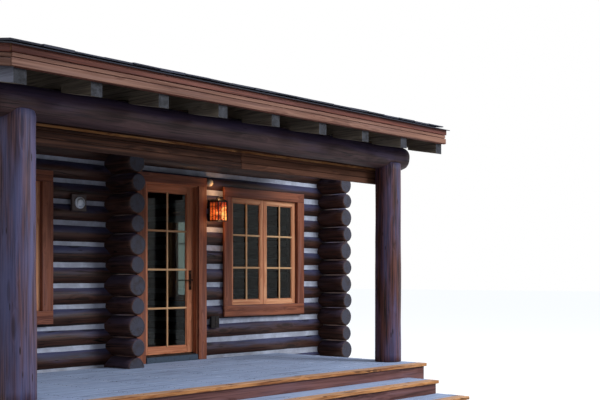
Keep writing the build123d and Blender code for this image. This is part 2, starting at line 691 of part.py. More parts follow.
# Boards and shingles: the main roof's eaves stand out only beside the porch roof
board_x = (-VERGE_X + FASCIA_T, VERGE_X - FASCIA_T)


def main_layer(low, high, half, eave, front_side):
    """One layer of the main roof, on the front or the back slope."""
    if not front_side:
        return slab_on_slope(band(main_z, (RIDGE_Y, 2 * RIDGE_Y - eave), low, high), (-half, half))
    layer = slab_on_slope(band(main_z, (FRONT_Y, RIDGE_Y), low, high), (-half, half))
    for wing in ((-half, -shingle_half), (shingle_half, half)):
        layer += slab_on_slope(band(main_z, (eave, FRONT_Y), low, high), wing)
    return layer


shingle_eave = EAVE_Y - FASCIA_T - SHINGLE_OVER
main_top = MAIN_SHINGLES + SHINGLE_T * MAIN_STEEP
for name, front_side in (("front", True), ("back", False)):
    save(main_layer(MAIN_BOARDS, MAIN_SHINGLES, VERGE_X - FASCIA_T, EAVE_Y, front_side),
         f"main_roof_boards_{name}")
    save(main_layer(MAIN_SHINGLES, main_top, VERGE_X + SHINGLE_OVER, shingle_eave, front_side),
         f"main_shingles_{name}")
cap = (RIDGE_Y - RIDGE_CAP_W / 2, RIDGE_Y, RIDGE_Y + RIDGE_CAP_W / 2)
save(slab_on_slope(band(main_z, cap, main_top, main_top + SHINGLE_T),
                   (-VERGE_X - SHINGLE_OVER, VERGE_X + SHINGLE_OVER)), "ridge_cap")

porch_top = PORCH_SHINGLES + SHINGLE_T * PORCH_STEEP
save(slab_on_slope(band(porch_z, (TAIL_Y, FRONT_Y), PORCH_BOARDS, PORCH_SHINGLES), (-porch_half, porch_half)),
     "porch_roof_boards")
save(slab_on_slope(band(porch_z, (TAIL_Y - FASCIA_T - SHINGLE_OVER, FRONT_Y), PORCH_SHINGLES, porch_top),
                   (-shingle_half, shingle_half)), "porch_shingles")

# Fascia boards: across the rafter tails and up the verges, under the shingles' edge
with BuildPart() as porch_fascia:
    add(slab_on_slope(band(porch_z, (TAIL_Y - FASCIA_T, TAIL_Y), PORCH_SHINGLES - FASCIA_H, PORCH_SHINGLES),
                      (-porch_half - FASCIA_T, porch_half + FASCIA_T)))
    for side in (-porch_half - FASCIA_T, porch_half):
        add(slab_on_slope(band(porch_z, (TAIL_Y, FRONT_Y - LOG_R), PORCH_SHINGLES - FASCIA_H, PORCH_SHINGLES),
                          (side, side + FASCIA_T)))
save(porch_fascia.part, "porch_fascia")

verge_boards = []
for side in (-VERGE_X, VERGE_X - FASCIA_T):
    ys = (EAVE_Y, RIDGE_Y, back_eave)
    verge_boards.append(slab_on_slope(band(main_z, ys, MAIN_SHINGLES - FASCIA_H, MAIN_SHINGLES),
                                      (side, side + FASCIA_T)))
save(joined(verge_boards), "verge_boards")
front_eave_band = band(main_z, (EAVE_Y - FASCIA_T, EAVE_Y), MAIN_SHINGLES - FASCIA_H, MAIN_SHINGLES)
back_eave_band = band(main_z, (back_eave, back_eave + FASCIA_T), MAIN_SHINGLES - FASCIA_H, MAIN_SHINGLES)
save(joined([slab_on_slope(front_eave_band, (-VERGE_X, -shingle_half)),
             slab_on_slope(front_eave_band, (shingle_half, VERGE_X)),
             slab_on_slope(back_eave_band, (-VERGE_X, VERGE_X))]), "eave_fascias")


def blocking(line, rafters, surface):
    """Boards on edge over a wall, one in each bay between the rafters, up to the roof boards."""
    ys = (line - BLOCKING_T / 2, line + BLOCKING_T / 2)
    outline = [(y, WALL_TOP) for y in ys] + [(y, surface(y)) for y in reversed(ys)]
    boards = slab_on_slope(outline, (-HALF_W + THICK_LOG_D / 2, HALF_W - THICK_LOG_D / 2))
    for x in rafters:
        boards -= block((x - RAFTER_W / 2, x + RAFTER_W / 2), (line - BLOCKING_T, line + BLOCKING_T),
                        (WALL_TOP - 1, WALL_TOP + 2 * RAFTER_H))
    return boards


def under_main_boards(y):
    return main_z(y) + MAIN_BOARDS


save(joined([blocking(FRONT_Y + BLOCKING_T / 2, main_rafter_x, under_main_boards),
             blocking(BACK_Y, main_rafter_x, under_main_boards)]), "eave_blocking")

# Fittings on the front wall: a wall lantern, an outlet box and a round sounder on a square box
lantern = wall_plane(LANTERN_X, FRONT_Y, (0, -1))
lantern_z = DECK_Z + LANTERN_Z
half_lantern = LANTERN_W / 2
with BuildPart() as lantern_frame:
    with BuildSketch(lantern.offset(LOG_R)):
        with Locations((0, lantern_z)):
            Rectangle(LANTERN_W, LANTERN_H)
    extrude(amount=LANTERN_BAR)
    for z in (-LANTERN_H / 2, LANTERN_H / 2 - LANTERN_BAR):
        with BuildSketch(Plane(lantern.origin).offset(lantern_z + z)):
            with Locations((0, -LOG_R - LANTERN_BAR - half_lantern)):
                Rectangle(LANTERN_W, LANTERN_W)
        extrude(amount=LANTERN_BAR)
    with BuildSketch(Plane(lantern.origin).offset(lantern_z - LANTERN_H / 2)):
        with Locations((0, -LOG_R - LANTERN_BAR - half_lantern)):
            with GridLocations(LANTERN_W - LANTERN_BAR, LANTERN_W - LANTERN_BAR, 2, 2):
                Rectangle(LANTERN_BAR, LANTERN_BAR)
    extrude(amount=LANTERN_H)
    with BuildSketch(Plane(lantern.origin).offset(lantern_z + LANTERN_H / 2)):
        with Locations((0, -LOG_R - LANTERN_BAR - half_lantern)):
            Rectangle(LANTERN_W, LANTERN_W)
    extrude(amount=LANTERN_W * 0.3, taper=55)
save(lantern_frame.part, "lantern_frame")
glass_y = FACE_Y - LANTERN_BAR - half_lantern
glass_half = half_lantern - LANTERN_BAR
save(block((LANTERN_X - glass_half, LANTERN_X + glass_half), (glass_y - glass_half, glass_y + glass_half),
           (lantern_z - LANTERN_H / 2 + LANTERN_BAR, lantern_z + LANTERN_H / 2 - LANTERN_BAR)), "lantern_glass")


def wall_box(x, z, w, h, depth):
    return panel(wall_plane(x, FRONT_Y, (0, -1)), depth,
                 (-w / 2, w / 2, DECK_Z + z - h / 2, DECK_Z + z + h / 2))


save(wall_box(OUTLET_X, OUTLET_Z, OUTLET_W, OUTLET_H, (LOG_R, LOG_R + OUTLET_T)), "outlet_box")
save(wall_box(BELL_X, BELL_Z, BELL_BOX, BELL_BOX, (LOG_R, LOG_R + BELL_BOX_T)), "sounder_box")
with BuildPart() as sounder:
    with BuildSketch(wall_plane(BELL_X, FRONT_Y, (0, -1)).offset(LOG_R + BELL_BOX_T)):
        with Locations((0, DECK_Z + BELL_Z)):
            RegularPolygon(BELL_D / 2, 3 * FITTING_SIDES)
    extrude(amount=BELL_T)
save(sounder.part, "sounder")
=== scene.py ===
# %% [markdown]
# # A log cabin with a covered porch
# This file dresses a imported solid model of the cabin. The solid model says where every piece sits and
# how large it is; the cells below make the surfaces that the eye reads: round logs, mortar, weathered
# boards, shingles, glass and metal. Lengths are metres, X runs along the front wall, Y goes back into
# the cabin and Z is up.

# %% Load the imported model
import json
import math
import random
from itertools import product

import bmesh
import bpy
from mathutils import Matrix, Vector, noise


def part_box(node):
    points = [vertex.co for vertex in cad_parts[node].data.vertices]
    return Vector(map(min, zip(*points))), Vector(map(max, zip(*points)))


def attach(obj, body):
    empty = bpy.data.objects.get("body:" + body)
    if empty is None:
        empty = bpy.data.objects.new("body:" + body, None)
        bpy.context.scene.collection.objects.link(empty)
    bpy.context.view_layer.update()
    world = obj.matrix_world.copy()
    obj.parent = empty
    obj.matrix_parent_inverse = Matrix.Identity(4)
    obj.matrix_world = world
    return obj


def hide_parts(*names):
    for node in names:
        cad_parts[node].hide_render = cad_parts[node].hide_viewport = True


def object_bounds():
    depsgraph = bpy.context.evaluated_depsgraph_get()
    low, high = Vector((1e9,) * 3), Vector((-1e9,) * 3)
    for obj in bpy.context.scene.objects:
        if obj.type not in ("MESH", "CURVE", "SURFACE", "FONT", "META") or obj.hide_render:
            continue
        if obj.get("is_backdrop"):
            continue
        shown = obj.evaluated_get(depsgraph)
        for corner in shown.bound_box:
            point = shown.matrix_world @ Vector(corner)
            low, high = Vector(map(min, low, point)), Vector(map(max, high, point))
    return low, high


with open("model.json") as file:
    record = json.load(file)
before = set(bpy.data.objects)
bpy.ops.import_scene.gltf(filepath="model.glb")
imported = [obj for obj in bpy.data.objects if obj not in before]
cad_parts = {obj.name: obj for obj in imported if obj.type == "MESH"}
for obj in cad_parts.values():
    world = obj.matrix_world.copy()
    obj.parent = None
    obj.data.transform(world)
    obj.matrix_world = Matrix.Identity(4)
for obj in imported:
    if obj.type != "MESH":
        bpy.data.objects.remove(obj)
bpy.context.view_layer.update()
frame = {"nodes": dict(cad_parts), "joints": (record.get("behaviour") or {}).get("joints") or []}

nodes = frame["nodes"]

# %% [markdown]
# ## The camera
# The photograph was taken from the left of the porch with a level camera. Its three vanishing points
# give the lens and the turn: a 60 mm lens on a 36 mm sensor, turned 49 degrees to the right of straight
# ahead. The horizon lies below the middle of the frame, which a small vertical shift reproduces.

# %% Place the camera
def in_scene(name, data):
    """A new object that holds data, linked into the scene."""
    made = bpy.data.objects.new(name, data)
    bpy.context.scene.collection.objects.link(made)
    return made


FACE_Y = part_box("front_sill_log")[0].y
HORIZON_SHIFT, PICTURE_W = 77, 600   # pixels
camera = in_scene("camera", bpy.data.cameras.new("camera"))
bpy.context.scene.camera = camera
camera.location = (-7.23, FACE_Y - 9.08, 1.466)
camera.rotation_euler = (math.radians(90), 0, math.radians(-48.87))
camera.data.lens = 60.1
camera.data.sensor_width = 36
camera.data.shift_y = HORIZON_SHIFT / PICTURE_W
camera.data.clip_end = 200
print("camera at", [round(c, 3) for c in camera.location], "with a lens of", camera.data.lens, "mm")

# %% [markdown]
# ## Node helpers
# Materials are trees of nodes. A small class stands for a node's output, so that sums can be written
# as sums: each +, -, * or / adds one Math node to the tree that is being built.

# %% Wires
class Wire:
    """A node's output. Reckoning with it adds Math nodes to the tree that is open."""
    tree = None

    def __init__(self, socket):
        self.socket = socket

    def math(self, operation, other=None, clamp=False):
        return put("Math", {"operation": operation, "use_clamp": clamp}, i0=self, i1=other)[0]

    def __add__(self, other):
        return self.math("ADD", other)

    def __sub__(self, other):
        return self.math("SUBTRACT", other)

    def __mul__(self, other):
        return self.math("MULTIPLY", other)

    def __truediv__(self, other):
        return self.math("DIVIDE", other)

    def span(self, low, high, to_low=0.0, to_high=1.0):
        """Maps the value to a smooth step between two limits."""
        return put("MapRange", {"interpolation_type": "SMOOTHSTEP"}, i0=self, i1=low, i2=high, i3=to_low,
                   i4=to_high)[0]


class Outlets:
    """A node's outputs as wires, by name or by place."""

    def __init__(self, sockets):
        self.sockets = sockets

    def __getitem__(self, key):
        return Wire(self.sockets[key])


def feed(socket, value):
    """Links a wire to a socket, or sets a plain value there."""
    if isinstance(value, Wire):
        Wire.tree.links.new(value.socket, socket)
    elif value is not None:
        socket.default_value = value


def put(kind, settings=None, **sockets):
    """Adds a node to the open tree. Sockets are named with _ for a space, or i0, i1 for a place."""
    made = Wire.tree.nodes.new(kind if kind.startswith(("Geometry", "Function")) else "ShaderNode" + kind)
    for key, value in (settings or {}).items():
        setattr(made, key, value)
    for key, value in sockets.items():
        name = int(key[1:]) if key[0] == "i" and key[1:].isdigit() else key.replace("_", " ")
        feed(made.inputs[name], value)
    return Outlets(made.outputs)


# %% [markdown]
# Colours are given as a screen shows them, because that is how they are read off the real thing, and
# turned into the linear numbers that shaders reckon with.

# %% Colours and materials
def srgb(*color):
    """A colour as a screen shows it, 0 to 255, in the numbers that shaders use."""
    shares = [c / 255 for c in color]
    return (*(c / 12.92 if c <= 0.04045 else ((c + 0.055) / 1.055) ** 2.4 for c in shares), 1.0)


def mixed(factor, a, b):
    """Mixes two colours. A colour of three numbers is as a screen shows it."""
    a, b = [srgb(*c) if isinstance(c, tuple) and len(c) == 3 else c for c in (a, b)]
    return put("Mix", {"data_type": "RGBA"}, i0=factor, i6=a, i7=b)[2]


def material(name):
    """A new material, with its tree open."""
    made = bpy.data.materials.new(name)
    made.use_nodes = True
    Wire.tree = made.node_tree
    return made


def shade(made, bump=None, **sockets):
    """Feeds a material's shader by its sockets' names, with a bump of (strength, distance, height)."""
    if bump:
        sockets["Normal"] = put("Bump", Strength=bump[0], Distance=bump[1], Height=bump[2])[0]
    for name, value in sockets.items():
        feed(made.node_tree.nodes["Principled BSDF"].inputs[name.replace("_", " ")], value)
    return made


# %% [markdown]
# ## Floor and light
# The studio is a pale floor under a soft sky, brighter overhead, with one broad lamp in front of the porch
# on its right, at a level where a colour renders about as it is written. The background and the floor are
# pale only for rays that come straight from the camera, or by way of glass and metal.

# %% Light the studio
def pale_rays():
    """1 for rays that show the pale background: straight from the camera, or by way of glass and metal."""
    path = put("LightPath")
    straight = path["Is Camera Ray"].math("MAXIMUM", path["Is Transmission Ray"])
    return straight.math("MAXIMUM", path["Is Glossy Ray"])


world = bpy.data.worlds.new("studio")
bpy.context.scene.world = world
world.use_nodes = True
Wire.tree = world.node_tree
rise = put("SeparateXYZ", Vector=put("TexCoord")["Generated"])[2]
overhead = mixed(rise.span(-0.05, 0.75), (0.19, 0.175, 0.16, 1), (0.74, 0.82, 0.96, 1))
feed(world.node_tree.nodes["Background"].inputs["Color"], mixed(pale_rays(), overhead, (1, 1, 1, 1)))

lamp = in_scene("soft_lamp", bpy.data.lights.new("soft_lamp", "AREA"))
lamp.data.shape = "DISK"
lamp.data.size = 6.0
lamp.data.energy = 1550
lamp.data.color = (0.87, 0.93, 1.0)
lamp.location = (6.0, -13.5, 8.2)
lamp.rotation_euler = (Vector((0, -1.5, 1.5)) - lamp.location).to_track_quat("-Z", "Y").to_euler()
bpy.context.scene.view_settings.view_transform = "Standard"

floor_material = material("pale_floor")
seen = pale_rays()
shade(floor_material, Base_Color=mixed(seen, (0.24, 0.24, 0.24, 1), (0.60, 0.60, 0.60, 1)),
      Emission_Color=mixed(seen, (0, 0, 0, 1), (0.56, 0.55, 0.53, 1)), Emission_Strength=1.0, Roughness=0.9,
      Specular_IOR_Level=0.0)
floor_mesh = bpy.data.meshes.new("floor")
floor_mesh.from_pydata([(-90, -90, 0), (90, -90, 0), (90, 90, 0), (-90, 90, 0)], [], [(0, 1, 2, 3)])
floor_mesh.materials.append(floor_material)
studio_floor = in_scene("floor", floor_mesh)
studio_floor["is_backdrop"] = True
print("lamp:", lamp.data.energy, "W, aimed along", [round(math.degrees(a)) for a in lamp.rotation_euler])

# %% [markdown]
# ## Wood
# Every board and log carries two attributes. "grain" is a position along and across that piece of wood,
# with its own start, so the figure follows the piece and no two are alike. "tone" is one number for
# the whole piece, and shifts its colour. One node group turns them into streaks, long drying checks and
# knots, and each kind of wood mixes its own colours from those masks.

# %% The wood figure group
NUMBER, VECTOR = "NodeSocketFloat", "NodeSocketVector"
MASKS = ("Streaks", "Fibre", "Checks", "Knots", "Height")


def new_tree(name, kind, inputs, outputs):
    """A node group, with its tree open; gives the group, its inputs' wires and its outputs' sockets."""
    made = bpy.data.node_groups.new(name, kind)
    for label, socket_kind, *value in inputs:
        socket = made.interface.new_socket(label, in_out="INPUT", socket_type=socket_kind)
        if value:
            socket.default_value = value[0]
    for label, socket_kind in outputs:
        made.interface.new_socket(label, in_out="OUTPUT", socket_type=socket_kind)
    Wire.tree = made
    return made, Outlets(made.nodes.new("NodeGroupInput").outputs), made.nodes.new("NodeGroupOutput").inputs


def vector_math(operation, a, b=None):
    return put("VectorMath", {"operation": operation}, i0=a, i1=b)


def stretched(vector, along, across):
    """Scales a grain position differently along and across the wood."""
    return vector_math("MULTIPLY", vector, put("CombineXYZ", X=along, Y=across, Z=across)[0])[0]


def cloud(vector, scale=1.0, detail=4.0, roughness=0.55, distortion=0.0):
    return put("TexNoise", Vector=vector, Scale=scale, Detail=detail, Roughness=roughness,
               Distortion=distortion)[0]


figure, given, result = new_tree(
    "wood_figure", "ShaderNodeTree", [("Grain", VECTOR), ("Along", NUMBER, 0.8), ("Across", NUMBER, 14.0),
                                      ("Knots", NUMBER, 0.5), ("Checks", NUMBER, 0.5)],
    [(label, NUMBER) for label in MASKS])
wavy = stretched(given["Grain"], given["Along"], given["Across"])
knot_place = stretched(given["Grain"], given["Along"] * 2.2, given["Across"] * 0.42)
knot_far = put("TexVoronoi", Vector=knot_place, Scale=1.0)["Distance"]
knot = knot_far.span(0.20, 0.10) * given["Knots"]
round_knots = put("CombineXYZ", Y=knot_far.span(0.45, 0.05) * 1.6)[0]
streaks = cloud(vector_math("ADD", wavy, round_knots)[0], 1.0, 5.0, 0.6, 0.3)
fibre = cloud(stretched(wavy, 2.5, 5.0), 1.0, 3.0, 0.6)
crack_line = (cloud(stretched(wavy, 0.55, 0.8), 1.0, 2.0, 0.4) - 0.5).math("ABSOLUTE")
crack = crack_line.span(0.016, 0.004) * cloud(stretched(wavy, 1.3, 0.2), 1.0, 1.0).span(0.50, 0.60)
crack = crack.math("MULTIPLY", given["Checks"], clamp=True)
height = streaks * 0.5 + fibre * 0.35 - crack * 1.2 - knot * 0.4
for label, value in zip(MASKS, (streaks, fibre, crack, knot, height)):
    feed(result[label], value)
print("wood figure group:", len(figure.nodes), "nodes")

# %% [markdown]
# A wood finish mixes a dark and a light colour by the streaks, turns the upward faces towards a
# weathered colour, partly as sun and rain weather them and partly as a painted sheen of sky light on
# their tops, and darkens checks and knots. Bump comes from the same height.

# %% Wood finishes
def grain_of(along=None):
    """The grain attribute, or Object coordinates turned so that the wood runs along an axis."""
    if along is None:
        return put("Attribute", {"attribute_name": "grain"})["Vector"]
    parts = put("SeparateXYZ", Vector=put("TexCoord")["Object"])
    order = (0, 1, 2) if along == "x" else (1, 0, 2)
    return put("CombineXYZ", **{label: parts[n] for label, n in zip("XYZ", order)})[0]


def tone_of():
    return put("Attribute", {"attribute_name": "tone"})["Fac"]


def darker(color, share):
    return (*(c * share for c in srgb(*color)[:3]), 1.0)


def wood(name, dark, light, weather, weathered=0.5, along=None, rate=(0.7, 18.0), knots=0.5, checks=0.7,
         rough=(0.55, 0.8), bump=0.5, depth=0.003, spread=0.35, worn=None, fine=0.5, flecks=0.0,
         rain=0.42, cover=0.0):
    """One kind of wood. rate is how often the figure repeats along and across it, spread how far the tone
    of a piece shifts its colour; worn lightens patches. fine is the strength of the narrow fibres, flecks
    that of short dark dashes. weather is the weathered colour, with a painted sheen of sky
    light in it, and weathered how far the wood turns to it. rain says how much
    more an upward face turns, by weathering and by painted sky sheen, and cover how much of the rest does."""
    made = material(name)
    grain = grain_of(along)
    masks = put("Group", {"node_tree": figure}, Grain=grain, Along=rate[0], Across=rate[1], Knots=knots,
                Checks=checks)
    share = masks["Streaks"].span(0.30, 0.70).math("ADD", (tone_of() - 0.5) * spread, clamp=True)
    color = mixed(share, dark, light)
    color = mixed(masks["Fibre"].span(0.45, 0.7) * fine, color, light)
    color = mixed(masks["Fibre"].span(0.5, 0.3) * (fine * 1.6), color, darker(dark, 0.45))
    up = put("SeparateXYZ", Vector=put("NewGeometry")["Normal"])[2]
    patches = cloud(stretched(grain, rate[0] * 1.6, rate[1] * 0.6))
    # Upward faces turn further to the weathered colour: real weathering, and a painted sheen of sky light on
    # their tops.
    grey = (up * rain + masks["Streaks"] * 0.35 + patches).span(0.62 - cover, 1.10 - cover)
    color = mixed(grey.math("MULTIPLY", weathered, clamp=True), color, weather)
    if worn:
        edge = cloud(stretched(grain, 3.0, 9.0), 1.0, 4.0, 0.7)
        color = mixed(edge.span(0.58, 0.72) * 0.5, color, worn)
    shadow = masks["Checks"].math("ADD", masks["Knots"] * 0.75, clamp=True)
    if flecks:
        spot = put("TexVoronoi", Vector=stretched(grain, 5.0, 30.0), Scale=1.0)
        rare = put("SeparateColor", Color=spot["Color"])[0].span(0.72, 0.74)
        shadow = shadow.math("ADD", spot["Distance"].span(0.22, 0.12) * rare * flecks, clamp=True)
    return shade(made, (bump, depth, masks["Height"]), Base_Color=mixed(shadow, color, darker(dark, 0.28)),
                 Specular_IOR_Level=0.2, Roughness=masks["Streaks"].span(0.2, 0.8, rough[1], rough[0]))


# %% [markdown]
# Kinds of wood that are worked alike share one set of numbers: peeled logs, porch posts and planed
# joinery. Colours are read from the real cabin, dark, light and weathered. The bluish weathered colours,
# such as those of the logs, posts, header and deck, also hold a painted sheen of sky light.

# %% The kinds of wood
PEELED = dict(rate=(0.8, 15.0), rough=(0.40, 0.62), bump=0.9, depth=0.006, checks=1.0, knots=0.8, fine=0.6,
              flecks=0.8)
POST = dict(rough=(0.36, 0.6), bump=1.0, rain=0.3, flecks=1.0)
PLANED = dict(knots=0.0, checks=0.0, rough=(0.35, 0.5), depth=0.001, fine=0.2)
log_wood = wood("log_dark_brown", (28, 15, 12), (72, 45, 36), (66, 70, 102), 0.8, rain=0.5, **PEELED)
side_log_wood = wood("log_brown", (36, 21, 17), (88, 57, 46), (74, 68, 88), 0.7, rain=0.4, **PEELED)
grey_post_wood = wood("post_grey_brown", (64, 38, 38), (112, 78, 76), (92, 94, 132), 0.8, cover=0.2,
                      rate=(0.7, 22.0), depth=0.010, checks=0.5, knots=0.6, fine=1.2, **POST)
red_post_wood = wood("post_red_brown", (50, 25, 20), (106, 62, 51), (84, 88, 128), 0.75, cover=0.12,
                     rate=(0.7, 16.0), depth=0.008, checks=0.9, knots=0.9, fine=1.0, **POST)
header_wood = wood("header_brown", (38, 24, 25), (80, 56, 56), (82, 72, 106), 0.6, cover=0.10,
                   rate=(0.7, 14.0), rough=(0.5, 0.68), bump=0.8, depth=0.006, checks=0.6, knots=0.6,
                   fine=0.6, flecks=0.5)
casing_wood = wood("casing_red_brown", (92, 46, 32), (150, 88, 62), (124, 96, 98), 0.55, rate=(0.9, 22.0),
                   knots=0.25, checks=0.15, rough=(0.42, 0.6), bump=0.35, depth=0.002, fine=0.35)
door_wood = wood("door_warm_brown", (154, 84, 54), (212, 138, 98), (190, 132, 106), 0.35, rate=(0.9, 24.0),
                 knots=0.1, checks=0.05, rough=(0.36, 0.52), bump=0.3, depth=0.0015, fine=0.35)
sash_wood = wood("sash_orange", (186, 112, 76), (232, 170, 126), (222, 166, 130), 0.25, rate=(1.0, 30.0),
                 bump=0.2, **PLANED)
muntin_wood = wood("muntin_tan", (190, 140, 98), (222, 178, 132), (200, 160, 120), 0.3, rate=(1.0, 40.0),
                   bump=0.15, **PLANED)
fascia_dark = wood("fascia_red_brown", (64, 30, 24), (124, 68, 52), (118, 80, 84), rate=(0.7, 26.0),
                   knots=0.2, checks=0.3, bump=0.4, depth=0.002)
fascia_light = wood("fascia_tan", (98, 62, 50), (146, 104, 84), (142, 112, 106), rate=(0.7, 30.0), knots=0.15,
                    checks=0.25, bump=0.35, depth=0.002, fine=0.4)
# The wide spread of tone makes the sawn board's left part dark: a painted shade behind the header.
sawn_wood = wood("sawn_board_brown", (38, 18, 11), (104, 66, 48), (104, 74, 60), 0.25, spread=0.9,
                 rough=(0.75, 0.9), rate=(0.6, 18.0), knots=0.4, checks=0.3, bump=0.4, fine=0.4)
rafter_wood = wood("rafter_brown_grey", (96, 84, 72), (150, 136, 116), (136, 130, 122))
rafter_end = wood("rafter_end_grey", (28, 27, 29), (54, 54, 60), (58, 60, 70), rate=(6.0, 18.0), knots=0.0,
                  checks=0.9)
# The outermost rafter faces are a lighter grey: a painted light of the sky on them.
outer_rafter_wood = wood("outer_rafter_grey", (96, 96, 106), (140, 140, 152), (128, 130, 144), 0.6, knots=0.4,
                         fine=0.4)
inner_rafter_wood = wood("inner_rafter_brown", (36, 28, 24), (76, 62, 53), (76, 70, 68), along="y")
# The planks are near black, a painted shade of the porch ceiling between the rafters.
plank_wood = wood("roof_plank_brown", (26, 18, 15), (50, 37, 30), (46, 39, 37), 0.3, checks=0.3, bump=0.35,
                  depth=0.002, fine=0.35)
deck_wood = wood("deck_grey", (78, 84, 100), (142, 152, 174), (158, 172, 200), 0.8, rate=(0.7, 22.0),
                 knots=0.35, checks=0.8, rough=(0.6, 0.85), spread=0.6, worn=(196, 204, 220), flecks=0.5)
nosing_wood = wood("nosing_orange", (130, 76, 42), (214, 150, 90), (196, 160, 134), rate=(1.3, 16.0),
                   knots=1.0, checks=0.8, bump=0.35, depth=0.002, flecks=0.7)
riser_wood = wood("riser_red_brown", (76, 44, 40), (124, 82, 76), (110, 90, 104), 0.6, rate=(0.6, 16.0),
                  checks=0.5, fine=0.4)
floor_wood = wood("floor_pine", (120, 82, 52), (164, 120, 80), (140, 108, 80), 0.2, rate=(0.8, 18.0),
                  checks=0.1, rough=(0.35, 0.5), bump=0.2, depth=0.001, fine=0.35)
blocking_wood = wood("blocking_brown", (62, 42, 36), (104, 78, 66), (96, 88, 84), 0.4, along="x",
                     rate=(0.7, 16.0), knots=0.4, checks=0.4, depth=0.004, fine=0.35)
print("kinds of wood:", len(bpy.data.materials) - 1)

# %% [markdown]
# The sawn end of a log shows rings round its heart and cracks that run out from it. Because "grain"
# holds the true distance from the log's middle, the rings are simply bands of that distance.

# %% End grain
end_wood = material("log_end_grain")
grain = grain_of()
parts = put("SeparateXYZ", Vector=grain)
flat = put("CombineXYZ", X=0.0, Y=parts[1], Z=parts[2])[0]
radius = vector_math("LENGTH", flat)["Value"] + (cloud(grain, 9.0, 3.0) - 0.5) * 0.02
rings = (radius * 620.0).math("SINE").span(-0.6, 0.9)
round_heart = put("CombineXYZ", X=parts[0], Y=parts[1].math("ARCTAN2", parts[2]) * 2.2, Z=radius * 4.0)[0]
split = (cloud(round_heart, 1.0, 2.0) - 0.5).math("ABSOLUTE").span(0.022, 0.004) * 0.8
color = mixed(rings, (46, 44, 56), (60, 60, 76))
color = mixed(cloud(grain, 14.0).span(0.45, 0.75), color, (44, 34, 38))
color = mixed(radius.span(0.085, 0.118), color, (38, 26, 25))
shade(end_wood, (0.5, 0.003, rings - split), Base_Color=mixed(split, color, (22, 16, 18)), Roughness=0.75)
print("end grain:", len(end_wood.node_tree.nodes), "nodes")

# %% [markdown]
# Mortar is blotched and sandy, with the long strokes of a trowel. The footing is rough stones in
# courses: cells of a Voronoi texture, squeezed flat and bent a little, with pale joints between them.

# %% Mortar and stone
mortar = material("mortar_blue_white")
place = put("TexCoord")["Object"]
sand = cloud(place, 160.0, 3.0, 0.7)
trowel = cloud(stretched(grain_of(), 3.0, 30.0), 1.0, 3.0)
color = mixed(cloud(place, 5.0, 5.0, 0.65).span(0.35, 0.7), (156, 158, 170), (190, 194, 208))
color = mixed(sand.span(0.55, 0.8) * 0.35, color, (148, 142, 136))
color = mixed(trowel.span(0.6, 0.8) * 0.4, color, (150, 148, 152))
shade(mortar, (0.6, 0.004, trowel + sand * 0.4), Base_Color=color, Roughness=0.9)

stone = material("footing_stone")
place = put("TexCoord")["Object"]
drift = put("TexNoise", Vector=place, Scale=3.0)[1]
drift = put("VectorMath", {"operation": "SCALE"}, i0=drift, Scale=0.15)[0]
course = put("Mapping", {"vector_type": "POINT"}, Vector=vector_math("ADD", place, drift)[0],
             Scale=(3.2, 3.2, 7.0))[0]
face = put("TexVoronoi", {"feature": "DISTANCE_TO_EDGE"}, Vector=course, Scale=1.0)[0].span(0.03, 0.10)
rough_face = cloud(place, 22.0, 5.0, 0.65)
stone_tone = put("SeparateColor", Color=put("TexVoronoi", Vector=course, Scale=1.0)["Color"])[0]
color = mixed(stone_tone, (104, 100, 98), (150, 144, 136))
color = mixed(rough_face.span(0.4, 0.7), color, (128, 122, 118))
color = mixed(face, (96, 92, 88), color)
shade(stone, (0.9, 0.02, face + rough_face * 0.35), Base_Color=color, Roughness=0.92)
print("mortar and stone:", len(mortar.node_tree.nodes), "and", len(stone.node_tree.nodes), "nodes")

# %% [markdown]
# ## Shingles and glass
# Felt shingles are nearly black with a blue cast and a coat of mineral grit. The window glass is clear
# and very slightly uneven, as drawn glass is. The lantern's panes are amber, seeded and lit from inside:
# their glow is brightest round the bulb and fades with the distance from it.

# %% Shingles and glass
shingle_felt = material("shingle_felt")
place = put("TexCoord")["Object"]
grit = cloud(place, 260.0, 2.0, 0.8)
color = mixed(tone_of(), (30, 30, 40), (56, 57, 70))
color = mixed(grit.span(0.5, 0.75), color, (84, 88, 104))
color = mixed(cloud(place, 1.6).span(0.5, 0.75) * 0.35, color, (70, 70, 72))
shade(shingle_felt, (0.5, 0.002, grit), Base_Color=color, Roughness=0.88)


def glass(name, tint, rough, wave, wave_scale, lit=0.0):
    """Uneven glass; lit makes it glow round the lantern's bulb."""
    made = material(name)
    place = put("TexCoord")["Object"]
    shade(made, (wave, 0.002, cloud(place, wave_scale, 2.0)), Base_Color=tint, Roughness=rough, IOR=1.22,
          Transmission_Weight=1.0)
    if lit:
        from_bulb = put("Mapping", {"vector_type": "POINT"}, Vector=place,
                        Location=tuple(-c for c in lantern_bulb))[0]
        glow = cloud(place, 24.0, 4.0, 0.6) - vector_math("LENGTH", from_bulb)["Value"] * 2.6
        color = mixed(glow.span(0.12, 0.30), (74, 22, 16), (206, 88, 44))
        color = mixed(glow.span(0.28, 0.42), color, (255, 196, 110))
        shade(made, Emission_Color=color, Emission_Strength=lit)
    return made


glass_low, glass_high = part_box("lantern_glass")
lantern_bulb = (glass_high.x - 0.04, glass_low.y + 0.02, glass_low.z + 0.08)
window_glass = glass("window_glass", (0.30, 0.35, 0.33, 1), 0.02, 0.12, 2.2)
amber_glass = glass("amber_seeded_glass", srgb(226, 112, 40), 0.2, 0.5, 60.0, lit=0.95)
print("lantern bulb at", [round(c, 3) for c in lantern_bulb])

# %% [markdown]
# ## Metal and plastic
# Iron wears to brown on its edges, zinc darkens, and plastic covers get soiled. All of it is one
# recipe: a base colour, patches of another in which the surface is duller, and fine pores.

